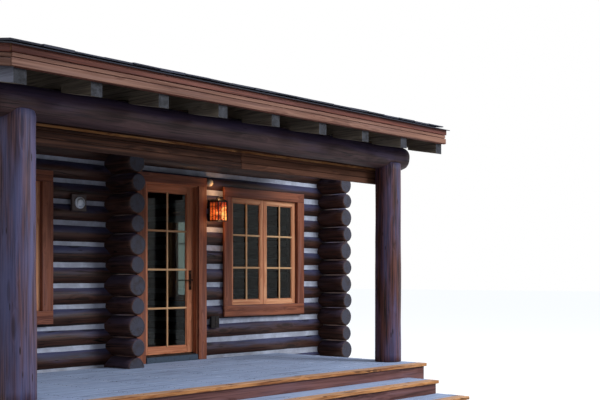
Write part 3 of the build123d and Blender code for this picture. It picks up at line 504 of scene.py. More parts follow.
# %% Metal and plastic
def hard(name, base, patch, rough, metallic, wear, limits, duller, pores, bump):
    """A hard finish with patches of wear or soil, duller there, and fine pores."""
    made = material(name)
    place = put("TexCoord")["Object"]
    worn = cloud(place, *wear)
    low, high, widest = limits
    return shade(made, (bump, 0.001, cloud(place, pores, 2.0)), Metallic=metallic,
                 Base_Color=mixed(worn.span(low, high), base, patch),
                 Roughness=worn.span(0.3, widest, rough, rough + duller))


def metal(name, base, worn, rough, metallic=1.0):
    return hard(name, base, worn, rough, metallic, (30.0, 5.0, 0.7), (0.52, 0.72, 0.7), 0.2, 240.0, 0.2)


def plastic(name, base, dirt, rough):
    return hard(name, base, dirt, rough, 0.0, (18.0, 5.0, 0.65), (0.5, 0.8, 0.8), 0.25, 420.0, 0.15)


sill_metal = metal("threshold_zinc", (64, 76, 90), (44, 50, 58), 0.4, 0.6)
dark_metal = metal("blackened_iron", (26, 22, 22), (70, 54, 44), 0.42, 0.7)
bronze = metal("dark_bronze", (42, 30, 26), (104, 74, 52), 0.32)
nail_metal = metal("nail_steel", (58, 54, 54), (96, 70, 54), 0.5)
dark_plastic = plastic("dark_box", (46, 30, 28), (70, 56, 50), 0.5)
white_plastic = plastic("white_cover", (240, 244, 250), (206, 210, 216), 0.3)
cream_plastic = plastic("cream_cover", (214, 198, 170), (160, 140, 118), 0.4)
print("finishes:", len(bpy.data.materials))

# %% [markdown]
# ## How the pieces are made
# Every piece is one mesh that grows part by part, out of boards, logs and beads of mortar. Each part
# brings its points and faces, and writes the grain and tone attributes that the finishes read. When the
# mesh is done it becomes an object that rides a body of the solid model and stands for its nodes.

# %% A growing piece
chance = random.Random(41)


class Piece:
    """A mesh that grows board by board and log by log."""

    def __init__(self, name, *finishes):
        self.name, self.finishes = name, finishes
        self.mesh = bmesh.new()
        self.grain = self.mesh.verts.layers.float_vector.new("grain")
        self.tone = self.mesh.verts.layers.float.new("tone")

    def shell(self, points, grains, faces, tone=None):
        """Adds vertices with their grain, and faces as (indices, finish, smooth)."""
        tone = chance.random() if tone is None else tone
        verts = []
        for point, grain in zip(points, grains):
            vert = self.mesh.verts.new(point)
            vert[self.grain], vert[self.tone] = grain, tone
            verts.append(vert)
        made = []
        for indices, finish, smooth in faces:
            face = self.mesh.faces.new([verts[i] for i in indices])
            face.material_index, face.smooth = finish, smooth
            made.append(face)
        bmesh.ops.recalc_face_normals(self.mesh, faces=made)
        return made

    def done(self, body, replaces=()):
        """Turns the grown mesh into a piece of the scene."""
        data = bpy.data.meshes.new(self.name)
        self.mesh.to_mesh(data)
        self.mesh.free()
        for finish in self.finishes:
            data.materials.append(finish)
        return dress(self.name, data, body, replaces)


def dress(name, data, body, replaces=()):
    """Puts a mesh into the scene as a piece that rides a body and stands for CAD nodes."""
    made = in_scene(name, data)
    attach(made, body)
    if replaces:
        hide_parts(*replaces)
    print(f"{name}: {sum(len(p.vertices) - 2 for p in data.polygons)} triangles")
    return made


# %% [markdown]
# A board is a box whose edges are eased, so that they catch the light. Each of its corners is three
# points, one for each side that meets there, and narrow faces close the edges between them.

# %% Boards
ENDS = (0, 1)


def corner(n, side, a, b):
    """A corner's three ends, side on axis n and a, b on the others."""
    return (*(a, b)[:n], side, *(a, b)[n:])


def board(piece, low, high, axis="x", finish=0, ease=0.003, place=None, tone=None):
    """A board between two corners, its grain along an axis, put in place by a matrix."""
    ease = min(ease, *(0.3 * (b - a) for a, b in zip(low, high)))
    i = "xyz".index(axis)
    j, k = [n for n in range(3) if n != i]
    start = chance.uniform(0, 40)
    heart = (chance.uniform(-0.2, 0.2), chance.uniform(0.1, 0.3))
    eased = [[a + ease, b - ease] for a, b in zip(low, high)]
    points, faces, index = [], [], {}
    for n, side, a, b in product(range(3), ENDS, ENDS, ENDS):
        key = corner(n, side, a, b)
        index[(n, *key)] = len(points)
        points.append([(low, high)[side][m] if m == n else eased[m][key[m]] for m in range(3)])
    for n, side in product(range(3), ENDS):
        faces.append([index[(n, *corner(n, side, a, b))] for a, b in ((0, 0), (1, 0), (1, 1), (0, 1))])
    for n, a, b in product(range(3), ENDS, ENDS):
        first, second = [m for m in range(3) if m != n]
        near, far = corner(n, 0, a, b), corner(n, 1, a, b)
        faces.append([index[spot] for spot in ((first, *near), (first, *far), (second, *far),
                                               (second, *near))])
    faces += [[index[(n, *key)] for n in range(3)] for key in product(ENDS, repeat=3)]
    grains = [(p[i] + start, p[j] - (low[j] + high[j]) / 2 + heart[0],
               p[k] - (low[k] + high[k]) / 2 + heart[1]) for p in points]
    if place is not None:
        points = [place @ Vector(p) for p in points]
    return piece.shell(points, grains, [(face, finish, False) for face in faces], tone)


Piece.board = board

# %% [markdown]
# A log is a tube whose rings wander a little in radius and in line, as a peeled trunk does. Smooth noise
# moves them at two sizes: broad swells, and small lumps on top of those.

# %% Logs
def tube_faces(rings, sides, finish=0, smooth=True, end_finish=None):
    """The faces of a tube, ring by ring, and one at each end."""
    faces = [([p * sides + n, p * sides + (n + 1) % sides, (p + 1) * sides + (n + 1) % sides,
               (p + 1) * sides + n], finish, smooth) for p in range(rings - 1) for n in range(sides)]
    end_finish = finish if end_finish is None else end_finish
    return faces + [([p * sides + n for n in range(sides)], end_finish, False) for p in (0, rings - 1)]


def log(piece, axis, at, z, radius, start, end, lumps=0.005, bow=0.006, ease=0.012, limit=None, clip=None,
        step=0.14, sides=20, flare=None):
    """A log from start to end. limit(z) gives its reach at a height, clip(point) moves a point."""
    start_at = chance.uniform(0, 60)
    count = max(2, round((end - start) / step))
    eased = min(0.4, ease / (end - start))
    shares = [0.0, eased, *(n / count for n in range(1, count)), 1 - eased, 1.0]
    points, grains = [], []
    for share in shares:
        along = start + share * (end - start)
        lean = Vector((along * 0.45 + start_at, 0, 0))
        du, dv = noise.noise(lean) * bow, noise.noise(lean + Vector((9, 9, 0))) * bow
        shrink = ease if share in (0.0, 1.0) else 0
        for n in range(sides):
            turn = 2 * math.pi * (n + 0.5) / sides
            c, s = math.cos(turn), math.sin(turn)
            bump = noise.noise(Vector((along * 1.1 + start_at, c * 1.1, s * 1.1))) * lumps
            bump += noise.noise(Vector((along * 4.0 + start_at, c * 2.5, s * 2.5))) * lumps * 0.45
            r = radius * (flare(share) if flare else 1) + bump - shrink
            u, v = c * r, s * r
            spot = along
            if limit:
                low, high = limit(z + v + dv)
                low, high = max(low, start), min(high, end)
                spot = low + share * max(0.0, high - low)
            if axis == "x":
                point = [spot, at + u + du, z + v + dv]
            elif axis == "y":
                point = [at + u + du, spot, z + v + dv]
            else:
                point = [at[0] + u + du, at[1] + v + dv, spot]
            points.append(clip(point) if clip else point)
            grains.append((along + start_at, u, v))
    return piece.shell(points, grains, tube_faces(len(shares), sides, end_finish=1))


Piece.log = log

# %% [markdown]
# Mortar is a strip pressed between two courses, a little hollow and uneven as a trowel leaves it. A beam
# with notches is drawn as an outline seen from its side and pulled to its width.

# %% Mortar and beams
HALF_JOINT, MORTAR_STEP, TROWEL = 0.05, 0.2, 0.004   # half a joint's height, a stroke's length and depth


def bead(piece, axis, at, z, start, end, half, limit=None):
    """A strip of mortar between two courses, slightly uneven as a trowel leaves it."""
    start_at = chance.uniform(0, 60)
    count = max(1, round((end - start) / MORTAR_STEP))
    rows = ((-1, -HALF_JOINT), (-1, 0.0), (-1, HALF_JOINT), (1, HALF_JOINT), (1, 0.0), (1, -HALF_JOINT))
    points, grains = [], []
    for ring in range(count + 1):
        for side, v in rows:
            along = start + (end - start) * ring / count
            if limit:
                low, high = limit(z + HALF_JOINT)
                low, high = max(low, start), min(high, end)
                along = low + (high - low) * ring / count
            out = half + noise.noise(Vector((along * 2.3 + start_at, side * 3.0, v * 20))) * TROWEL
            if v == 0.0:
                out -= TROWEL
            point = (along, at + side * out, z + v) if axis == "x" else (at + side * out, along, z + v)
            points.append(point)
            grains.append((along + start_at, side * 0.1, v))
    return piece.shell(points, grains, tube_faces(count + 1, len(rows), finish=2, smooth=False))


def prism(piece, outline, x0, x1):
    """A beam drawn as an outline in Y and Z, from x0 to x1."""
    start = chance.uniform(0, 40)
    points = [(x, y, z) for x in (x0, x1) for y, z in outline]
    grains = [(y + start, x - x0, z - outline[0][1]) for x, y, z in points]
    faces = tube_faces(2, len(outline), smooth=False)
    return piece.shell(points, grains, faces[-2:] + faces[:-2])


Piece.bead, Piece.prism = bead, prism

# %% [markdown]
# ## Log walls
# The front and back walls are laid in courses of 0.23 m. The side walls and the partition lie half a
# course lower, so that each log is saddle-notched over the one it crosses, and their ends stand out
# past the wall as crowns. Their logs alternate thick and thin. Mortar fills the gap between courses.

# %% Sizes of the log work, read from the solid model where a node shows them
COURSE, CROWN_THICK, CROWN_THIN = 0.23, 0.122, 0.102
WALL_COURSES, GABLE_COURSES = 14, 19
DOOR_COURSES, WINDOW_COURSES = range(1, 10), range(4, 10)
SIDE_WINDOW_COURSES, INNER_DOOR_COURSES = range(5, 10), range(10)
HALF_MORTAR, DEEP_MORTAR = 0.078, 0.068
MAIN_PITCH, ROOF_BOARD_T = 0.29, 0.040
sill_low, sill_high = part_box("front_sill_log")
SILL_Z, LOG_R = sill_low.z, (sill_high.y - sill_low.y) / 2
FRONT_Y = FACE_Y + LOG_R
back_low, back_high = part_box("back_wall")
BACK_Y = (back_low.y + back_high.y) / 2
left_low, left_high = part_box("left_wall")
HALF_W = -(left_low.x + left_high.x) / 2
RIDGE_Y = (FRONT_Y + BACK_Y) / 2
CROWN_X = (sill_low.x, sill_high.x)
CROWN_Y = (left_low.y, left_high.y)
partition_low, partition_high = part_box("partition_front")
PARTITION_X = (partition_low.x + partition_high.x) / 2
DECK_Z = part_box("porch_deck")[1].z
WINDOW_Z = (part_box("front_wall_under_windows")[1].z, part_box("front_wall_middle")[1].z)
door_low, door_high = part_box("door_frame")
DOOR_X, DOOR_TOP = (door_low.x, door_high.x), door_high.z
left_window = (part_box("front_wall_left_of_window")[1].x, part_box("front_wall_middle")[0].x)
right_window = (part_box("front_wall_beside_door")[1].x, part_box("front_wall_right_of_window")[0].x)
ROOF_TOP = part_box("main_roof_boards_back")[1].z
print("wall lines:", [round(v, 3) for v in (FRONT_Y, BACK_Y, HALF_W, PARTITION_X, RIDGE_Y)])

# %% [markdown]
# A log can't simply be cut off square. Under the roof its end follows the slope, and a log that runs past
# a window lies flat against the opening, as a carpenter would hew it. Two functions say where it stops.

# %% Where a log has to stop
BEYOND, BESIDE = 0.05, 0.02   # how far a log runs on past an opening, and how far beside one it is hewn


def steep(pitch):
    """How much longer a roof slope is than its plan."""
    return math.sqrt(1 + pitch ** 2)


def under_boards(y):
    """Underside of the main roof boards."""
    return ROOF_TOP - ROOF_BOARD_T * steep(MAIN_PITCH) - MAIN_PITCH * abs(y - RIDGE_Y)


def roof_limit(z):
    """How far a gable log reaches to the front and back at a height."""
    half = max(0.0, (under_boards(RIDGE_Y) - z) / MAIN_PITCH)
    return RIDGE_Y - half, RIDGE_Y + half


def clear_of(axis, openings, start, end):
    """Keeps a log's surface out of the openings that it runs past, above or below them."""
    i = "xy".index(axis)
    passed = [one for one in openings if start < one[0] - BEYOND and end > one[1] + BEYOND]

    def clip(point):
        for s0, s1, z0, z1 in passed:
            if s0 - BESIDE < point[i] < s1 + BESIDE and z0 < point[2] < z1:
                point[2] = z0 if point[2] - z0 < z1 - point[2] else z1
        return point
    return clip


def off_ground(point):
    point[2] = max(point[2], SILL_Z)
    return point


def crown_end(limit, side):
    """Log ends are not sawn to one line."""
    return limit - side * chance.uniform(0.0, 0.022)


print("roof boards' underside at the ridge:", round(under_boards(RIDGE_Y), 3))

# %% Front wall
CORNER = 0.05   # how far the mortar stays from a corner's centre line
wall = Piece("front_log_wall", log_wood, end_wood, mortar)
front_openings = ((*left_window, *WINDOW_Z), (*right_window, *WINDOW_Z), (*DOOR_X, DECK_Z, DOOR_TOP))


def runs_of(cuts):
    return list(zip(cuts[::2], cuts[1::2]))


def front_runs(k):
    """The log pieces of one course: whole, cut at the door, or cut at the windows too."""
    left, right = crown_end(CROWN_X[0], -1), crown_end(CROWN_X[1], 1)
    if k in WINDOW_COURSES:
        return runs_of([left, *left_window, *DOOR_X, *right_window, right])
    return runs_of([left, *DOOR_X, right] if k in DOOR_COURSES else [left, right])


for k in range(WALL_COURSES):
    z = SILL_Z + COURSE * (k + 0.5)
    for start, end in front_runs(k):
        wall.log("x", FRONT_Y, z, LOG_R - 0.001, start, end, clip=clear_of("x", front_openings, start, end))
    # the joint under course 10 still has the openings beside it
    for start, end in front_runs(9 if k == 10 else k) if k else ():
        start, end = max(start, CORNER - HALF_W), min(end, HALF_W - CORNER)
        right_half = HALF_MORTAR if k < 11 else DEEP_MORTAR
        for x0, x1, half in ((start, min(end, PARTITION_X), DEEP_MORTAR),
                             (max(start, PARTITION_X), end, right_half)):
            if x0 < x1:
                wall.bead("x", FRONT_Y, z - COURSE / 2, x0, x1, half)
wall.done("cabin", ("front_sill_log", "front_wall_left_of_window", "front_wall_middle",
                            "front_wall_beside_door", "front_wall_right_of_window",
                            "front_wall_under_windows", "front_wall_top"))

# %% Back wall
SMALL_W = 0.86         # the opening of a window at the sides and the back
BACK_WINDOW_X = 1.85   # how far the back windows are from the middle
wall = Piece("back_log_wall", log_wood, end_wood, mortar)
back_windows = [(x - SMALL_W / 2, x + SMALL_W / 2) for x in (-BACK_WINDOW_X, BACK_WINDOW_X)]
back_openings = [(*edges, *WINDOW_Z) for edges in back_windows]
for k in range(WALL_COURSES):
    z = SILL_Z + COURSE * (k + 0.5)
    left, right = crown_end(CROWN_X[0], -1), crown_end(CROWN_X[1], 1)
    cuts = sum(back_windows, ()) if k in WINDOW_COURSES else ()
    for start, end in runs_of([left, *cuts, right]):
        wall.log("x", BACK_Y, z, LOG_R - 0.001, start, end, clip=clear_of("x", back_openings, start, end))
        if k:
            wall.bead("x", BACK_Y, z - COURSE / 2, max(start, CORNER - HALF_W), min(end, HALF_W - CORNER),
                      HALF_MORTAR)
wall.done("cabin", ("back_wall",))

# %% Side walls with their gables, and the partition
side_window = (RIDGE_Y - SMALL_W / 2, RIDGE_Y + SMALL_W / 2)
side_openings = ((*side_window, *WINDOW_Z),)
CROWN_BACK, INNER_DOOR_W = 0.018, 0.90   # how much shorter the thick crowns are, and the partition's doorway
inner_door = (RIDGE_Y, RIDGE_Y + INNER_DOOR_W)


def crossing_log(wall, k, x, start, end, last, limit=None, openings=()):
    """One piece of a crossing log, thick or thin in turn, and the mortar under it as far as last."""
    z, r = SILL_Z + COURSE * k, (CROWN_THICK if k % 2 else CROWN_THIN) - 0.002
    clear = clear_of("y", openings, start, end)
    wall.log("y", x, z, r, start, end, limit=limit, ease=0.014, clip=lambda point: off_ground(clear(point)))
    if k:
        wall.bead("y", x, z - COURSE / 2, max(start, FRONT_Y + CORNER), min(end, last), HALF_MORTAR, limit)


for name, side in (("left", -1), ("right", 1)):
    wall = Piece(name + "_log_wall", side_log_wood, end_wood, mortar)
    for k in range(GABLE_COURSES):
        back = CROWN_BACK if k % 2 else 0.0
        start, end = crown_end(CROWN_Y[0] + back, -1), crown_end(CROWN_Y[1] - back, 1)
        if k > WALL_COURSES:
            start, end = FRONT_Y, BACK_Y
        for a, b in runs_of([start, *side_window, end] if k in SIDE_WINDOW_COURSES else [start, end]):
            crossing_log(wall, k, side * HALF_W, a, b, BACK_Y - CORNER, roof_limit, side_openings)
    wall.done("cabin", (name + "_wall",))

wall = Piece("partition_log_wall", side_log_wood, end_wood, mortar)
for k in range(WALL_COURSES):
    start, end = crown_end(CROWN_Y[0] + (CROWN_BACK if k % 2 else 0.0), -1), BACK_Y - LOG_R + 0.03
    for a, b in runs_of([start, *inner_door, end] if k in INNER_DOOR_COURSES else [start, end]):
        crossing_log(wall, k, PARTITION_X, a, b, b)
wall.done("cabin", ("partition_front", "partition_back", "partition_over_doorway"))

# %% Ridge pole
pole_low, pole_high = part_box("ridge_pole")
pole = Piece("ridge_pole_log", log_wood, end_wood)
pole.log("x", RIDGE_Y, (pole_low.z + pole_high.z) / 2, (pole_high.z - pole_low.z) / 2 - 0.004,
         pole_low.x + 0.005, pole_high.x - 0.005)
pole.done("cabin", ("ridge_pole",))

# %% [markdown]
# ## Doors and windows
# Joinery is boards: stiles and rails with their grain along their length, muntins that divide one pane,
# and flat casings nailed over the joint with the logs. A window is drawn once, in its own axes with X to
# the right, Y into the wall and Z up, and a matrix sets it on each wall.

# %% Frames and glazing
CASING_T, CASING_W, HEAD_W, APRON_W = 0.032, 0.135, 0.118, 0.142
FRAME_T, FRAME_D, SASH_W, SASH_T, SASH_BACK, SASH_GAP = 0.032, 0.160, 0.062, 0.045, 0.015, 0.002
MUNTIN_W, MUNTIN_T, GLASS_T, BEAD_W, BEAD_OUT, JOINT = 0.024, 0.020, 0.006, 0.012, 0.010, 0.0006


def on_wall(x, y, turn):
    return Matrix.Translation((x, y, 0)) @ Matrix.Rotation(math.radians(turn), 4, "Z")


def within(edges, by):
    x0, x1, z0, z1 = edges
    return x0 + by, x1 - by, z0 + by, z1 - by


def framed(piece, edges, y0, y1, sides, top, bottom, place=None, head_over=True, ease=0.003):
    """Four boards round an opening: two uprights, and a head and foot over or between them."""
    x0, x1, z0, z1 = edges
    low, high = (z0 + bottom + JOINT, z1 - top - JOINT) if head_over else (z0 + JOINT, z1 - JOINT)
    left, right = (x0, x1) if head_over else (x0 + sides, x1 - sides)
    piece.board((x0, y0, low), (x0 + sides, y1, high), "z", 0, ease, place)
    piece.board((x1 - sides, y0, low), (x1, y1, high), "z", 0, ease, place)
    piece.board((left, y0, z1 - top), (right, y1, z1), "x", 0, ease, place)
    if bottom:
        piece.board((left, y0, z0), (right, y1, z0 + bottom), "x", 0, ease, place)


def glazing(piece, glass, y, rows, place=None):
    """Muntins that part a pane in two columns, and the small moulding that holds it in."""
    x0, x1, z0, z1 = glass
    middle, half = x0 + (x1 - x0) / 2, MUNTIN_W / 2
    piece.board((middle - half, y - MUNTIN_T, z0), (middle + half, y, z1), "z", 1, 0.005, place)
    for i in range(1, rows):
        z = z0 + (z1 - z0) * i / rows
        piece.board((x0, y - MUNTIN_T + 0.001, z - half), (x1, y, z + half), "x", 1, 0.005, place)
    for a0, a1, b0, b1, axis in ((x0, x0 + BEAD_W, z0, z1, "z"), (x1 - BEAD_W, x1, z0, z1, "z"),
                                 (x0, x1, z0, z0 + BEAD_W, "x"), (x0, x1, z1 - BEAD_W, z1, "x")):
        piece.board((a0, y - BEAD_OUT, b0), (a1, y, b1), axis, 0, 0.004, place)


# %% Windows
def window(frames, sashes, casings, place, face, width, leaves):
    """A window whose wall stands out from its middle line by face."""
    opening = (-width / 2, width / 2, *WINDOW_Z)
    inner = within(opening, FRAME_T)
    framed(frames, opening, -face, -face + FRAME_D, FRAME_T, FRAME_T, FRAME_T, place, ease=0.002)
    leaf = (inner[1] - inner[0] - SASH_GAP * (leaves - 1)) / leaves
    y0 = -face + SASH_BACK
    for i in range(leaves):
        left = inner[0] + i * (leaf + SASH_GAP)
        edges = within((left, left + leaf, *inner[2:]), 0.001)
        framed(sashes, edges, y0, y0 + SASH_T, SASH_W, SASH_W, SASH_W, place, head_over=False)
        glazing(sashes, within(edges, SASH_W), y0 + SASH_T / 2 - GLASS_T / 2, 3, place)
    outer = (inner[0] - CASING_W, inner[1] + CASING_W, inner[2] - APRON_W, inner[3] + HEAD_W)
    framed(casings, outer, -face - CASING_T, -face, CASING_W, HEAD_W, APRON_W, place)


frames = Piece("front_window_frame_boards", casing_wood)
sashes = Piece("front_window_sash_boards", sash_wood, muntin_wood)
casings = Piece("front_window_casing_boards", casing_wood)
for edges in (left_window, right_window):
    window(frames, sashes, casings, on_wall(sum(edges) / 2, FRONT_Y, 0), LOG_R, edges[1] - edges[0], 2)
frames.done("cabin", ("front_window_frames",))
sashes.done("cabin", ("front_window_sashes",))
casings.done("cabin", ("front_window_casings",))

frames = Piece("side_and_back_window_boards", sash_wood, muntin_wood)
casings = Piece("side_and_back_casing_boards", casing_wood)
for x, y, turn, face in (*((sum(edges) / 2, BACK_Y, 180, LOG_R) for edges in back_windows),
                         (-HALF_W, RIDGE_Y, -90, CROWN_THICK), (HALF_W, RIDGE_Y, 90, CROWN_THICK)):
    window(frames, frames, casings, on_wall(x, y, turn), face, SMALL_W, 1)
frames.done("cabin", ("side_and_back_windows",))
casings.done("cabin", ("side_and_back_casings",))

# %% [markdown]
# ## The front door
# The door hangs on three hinges inside the room, so it opens inwards. Each hinge is made in two halves:
# one belongs to the frame and stays, the other to the leaf and swings with it round the same pin.

# %% Hinges
LEAF_W, LEAF_T, LEAF_BACK, DOOR_GAP, JAMB_T, STOP_T = 0.830, 0.045, 0.070, 0.007, 0.038, 0.012
HINGES_AT, HINGE_L, PLATE_W, KNUCKLE_R, KNUCKLE_SIDES = (0.12, 0.5, 0.88), 0.100, 0.028, 0.008, 16
leaf_low, leaf_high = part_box("door_leaf")
door_mid = sum(DOOR_X) / 2
leaf_edges = (door_mid - LEAF_W / 2, door_mid + LEAF_W / 2, leaf_low.z, leaf_high.z)
leaf_y = FACE_Y + LEAF_BACK
pin = frame["joints"][0]["pos_m"]


def hinge_half(piece, share, side, finish):
    """Plate and knuckle of a hinge; side is 1 on the leaf and -1 on the frame."""
    z = leaf_low.z + (leaf_high.z - leaf_low.z) * share
    low, high = (z, z + HINGE_L / 2) if side > 0 else (z - HINGE_L / 2, z - 0.0005)
    x0, x1 = sorted((pin[0], pin[0] + side * (DOOR_GAP / 2 + PLATE_W)))
    piece.board((x0, leaf_y + LEAF_T, low), (x1, leaf_y + LEAF_T + 0.003, high), "z", finish, 0.0006)
    rings = ((low, 0.006), (low + 0.002, KNUCKLE_R), (high - 0.002, KNUCKLE_R), (high, 0.006))
    turns = [2 * math.pi * n / KNUCKLE_SIDES for n in range(KNUCKLE_SIDES)]
    points = [(pin[0] + r * math.cos(t), pin[1] + r * math.sin(t), h) for h, r in rings for t in turns]
    piece.shell(points, points, tube_faces(len(rings), KNUCKLE_SIDES, finish))


print("hinge pin at", [round(c, 3) for c in pin])

# %% Door frame, casing and threshold
inner_x = (leaf_edges[0] - DOOR_GAP, leaf_edges[1] + DOOR_GAP)
inner_top = DOOR_TOP - JAMB_T
jambs = Piece("door_frame_boards", door_wood, dark_metal)
framed(jambs, (*DOOR_X, DECK_Z, DOOR_TOP), FACE_Y, leaf_y + LEAF_T, JAMB_T, JAMB_T, 0, ease=0.002)
framed(jambs, (*inner_x, DECK_Z, inner_top), FACE_Y, leaf_y - DOOR_GAP, STOP_T, STOP_T, 0, ease=0.002)
for share in HINGES_AT:
    hinge_half(jambs, share, -1, 1)
jambs.done("cabin", ("door_frame",))

low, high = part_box("door_casing")
casing = Piece("door_casing_boards", casing_wood)
framed(casing, (low.x, high.x, low.z, high.z), low.y, high.y, inner_x[0] - low.x, high.z - inner_top, 0)
casing.done("cabin", ("door_casing",))

low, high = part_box("door_threshold")
sill = Piece("door_threshold_boards", sill_metal, dark_metal)
sill.board(low, (high.x, high.y, high.z - 0.012), "x", 0, 0.006)
sill.board((low.x + 0.004, low.y + 0.030, high.z - 0.014), (high.x - 0.004, high.y - 0.010, high.z), "x", 1,
           0.004)
sill.done("cabin", ("door_threshold",))

# %% Door leaf
STILE_W, TOP_RAIL, BOTTOM_RAIL = 0.102, 0.090, 0.084
leaf = Piece("door_leaf_boards", door_wood, muntin_wood, dark_metal)
framed(leaf, leaf_edges, leaf_y, leaf_y + LEAF_T, STILE_W, TOP_RAIL, BOTTOM_RAIL, head_over=False)
x0, x1, z0, z1 = leaf_edges
pane = (x0 + STILE_W, x1 - STILE_W, z0 + BOTTOM_RAIL, z1 - TOP_RAIL)
glazing(leaf, pane, leaf_y + LEAF_T / 2 - GLASS_T / 2, 4)
for share in HINGES_AT:
    hinge_half(leaf, share, 1, 2)
leaf.done("door", ("door_leaf",))

# %% Door handles
PLATE_HALF_W, PLATE_HALF_H = 0.0215, 0.119
LEVER = ((0.009, 0.044, 0.0, 0.004), (0.004, 0.044, 0.0, 0.0085), (-0.03, 0.044, 0.0, 0.008),
         (-0.08, 0.045, -0.002, 0.0075), (-0.115, 0.041, -0.004, 0.0065), (-0.119, 0.040, -0.005, 0.003))
handle_low, handle_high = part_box("door_handles")
handle_z = (handle_low.z + handle_high.z) / 2
handle_x = leaf_edges[1] - STILE_W / 2


def tube(piece, route, radii, finish=0, sides=12):
    """A round bar through a few points, with a radius at each."""
    points = []
    for n, (centre, r) in enumerate(zip(route, radii)):
        before, after = route[max(0, n - 1)], route[min(len(route) - 1, n + 1)]
        ahead = (Vector(after) - Vector(before)).normalized()
        side = ahead.orthogonal() if n == 0 else side - ahead * side.dot(ahead)
        side = side.normalized()
        third = ahead.cross(side)
        turns = (2 * math.pi * m / sides for m in range(sides))
        points += [Vector(centre) + r * (math.cos(t) * side + math.sin(t) * third) for t in turns]
    piece.shell(points, points, tube_faces(len(route), sides, finish))


def turned(piece, x, y, z, profile, out=-1, finish=0, sides=12):
    """A round part turned about the Y axis; profile holds (distance out, radius)."""
    tube(piece, [(x, y + out * d, z) for d, r in profile], [r for d, r in profile], finish, sides)


handles = Piece("door_lever_handles", bronze)
for face, out in ((leaf_y, -1), (leaf_y + LEAF_T, 1)):
    y0, y1 = sorted((face, face + out * 0.007))
    handles.board((handle_x - PLATE_HALF_W, y0, handle_z - PLATE_HALF_H),
                  (handle_x + PLATE_HALF_W, y1, handle_z + PLATE_HALF_H), "z")
    turned(handles, handle_x, face, handle_z,
           ((0.006, 0.019), (0.010, 0.017), (0.012, 0.010), (0.046, 0.009)), out)
    route = [(handle_x + x, face + out * y, handle_z + z) for x, y, z, r in LEVER]
    tube(handles, route, [r for *_, r in LEVER])
    turned(handles, handle_x, face, handle_z - 0.075, ((0.006, 0.011), (0.010, 0.010), (0.011, 0.008)), out)
handles.done("door", ("door_handles",))

# %% [markdown]
# ## The porch
# Round posts stand on the deck and are coped under a header log that is a little crooked, as a whole
# trunk is. Deck boards run along the front wall, and the edge boards and treads show fresher, orange wood.

# %% Posts and header
low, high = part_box("header_log")
HEADER_R, HEADER_Z, HEADER_TOP = (high.z - low.z) / 2, (high.z + low.z) / 2, high.z
POST_Y = (low.y + high.y) / 2
header = Piece("crooked_header_log", header_wood, end_wood)
header.log("x", POST_Y, HEADER_Z, HEADER_R - 0.008, low.x + 0.002, high.x - 0.002, lumps=0.010, bow=0.012,
           ease=0.030, sides=32, step=0.12)
header.done("cabin", ("header_log",))

POST_UNDER = 0.075   # how far below the header's middle a post ends
for name, finish in (("left_post", grey_post_wood), ("right_post", red_post_wood)):
    low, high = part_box(name)
    post = Piece(name + "_trunk", finish, end_wood)
    post.log("z", ((low.x + high.x) / 2, (low.y + high.y) / 2), 0.0, (high.x - low.x) / 2, DECK_Z,
             HEADER_Z - POST_UNDER, lumps=0.006, bow=0.004, ease=0.010, sides=36, step=0.09,
             flare=lambda share: 1.035 - 0.055 * share)
    post.done("cabin", (name,))

# %% Sawn board behind the header
low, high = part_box("sawn_board")
beam = Piece("sawn_board_beam", sawn_wood, nosing_wood)
# each strip's foot and top, how far it stands back, its share of tone and its ease
strips = ((low.z + 0.062, high.z - 0.054, 0.014, 0.0, 0.004), (low.z, low.z + 0.058, 0.006, -0.1, 0.003),
          (high.z - 0.050, high.z - 0.024, 0.006, 0.1, 0.003))
# The left part has a low tone and the right a high one: the dark left part is a painted shade, where the
# header shades the board.
for x0, x1, tone in ((low.x, 0.22, 0.15), (0.222, high.x, 0.95)):
    for z0, z1, back, shift, ease in strips:
        beam.board((x0, low.y + back, z0), (x1, high.y, z1), ease=ease, tone=tone + shift)
beam.board((low.x, low.y, high.z - 0.022), high, finish=1)
beam.board((low.x, low.y + 0.010, high.z + 0.0005), (high.x, high.y, high.z + 0.075))
beam.done("cabin", ("sawn_board",))

# %% [markdown]
# Deck boards are laid with gaps for the rain, over joists, and their top faces are a millimetre or two
# uneven. Each step is a tread of three boards on a riser and two side boards.

# %% Deck and its framing
BOARD_T, NOSING, RIM_T, DECK_BOARD_W, DECK_GAP = 0.038, 0.025, 0.045, 0.1375, 0.008
BUTTS = (-0.9, 0.9, 0.1)   # where two boards of a row meet, row by row
low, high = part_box("porch_deck")
deck = Piece("porch_deck_boards", deck_wood, nosing_wood)
y, row = low.y, 0
while y < high.y - 0.02:
    y1 = min(y + DECK_BOARD_W, high.y) - DECK_GAP
    joints = [low.x, high.x] if row < 1 else [low.x, BUTTS[row % 3], high.x]
    for a, b in zip(joints, joints[1:]):
        bottom, top = low.z + chance.uniform(0, 0.001), high.z - chance.uniform(0, 0.002)
        deck.board((a, y, bottom), (b - (0.002 if b < high.x else 0), y1, top), "x", int(row == 0), 0.004)
    y, row = y + DECK_BOARD_W, row + 1
deck.done("cabin", ("porch_deck",))

low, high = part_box("porch_frame")
rim = Piece("porch_frame_boards", riser_wood)
JOIST_GAP = (high.x - low.x) / 10
rim.board(low, (high.x, low.y + RIM_T, high.z))
for x in (low.x, high.x - RIM_T):
    rim.board((x, low.y + RIM_T, low.z), (x + RIM_T, high.y, high.z), "y")
rim.board((low.x + RIM_T, high.y - RIM_T, low.z), (high.x - RIM_T, high.y, high.z))
for i in range(-4, 5):
    x = i * JOIST_GAP
    rim.board((x - RIM_T / 2, low.y + RIM_T, low.z), (x + RIM_T / 2, high.y - RIM_T, high.z), "y")
rim.done("cabin", ("porch_frame",))

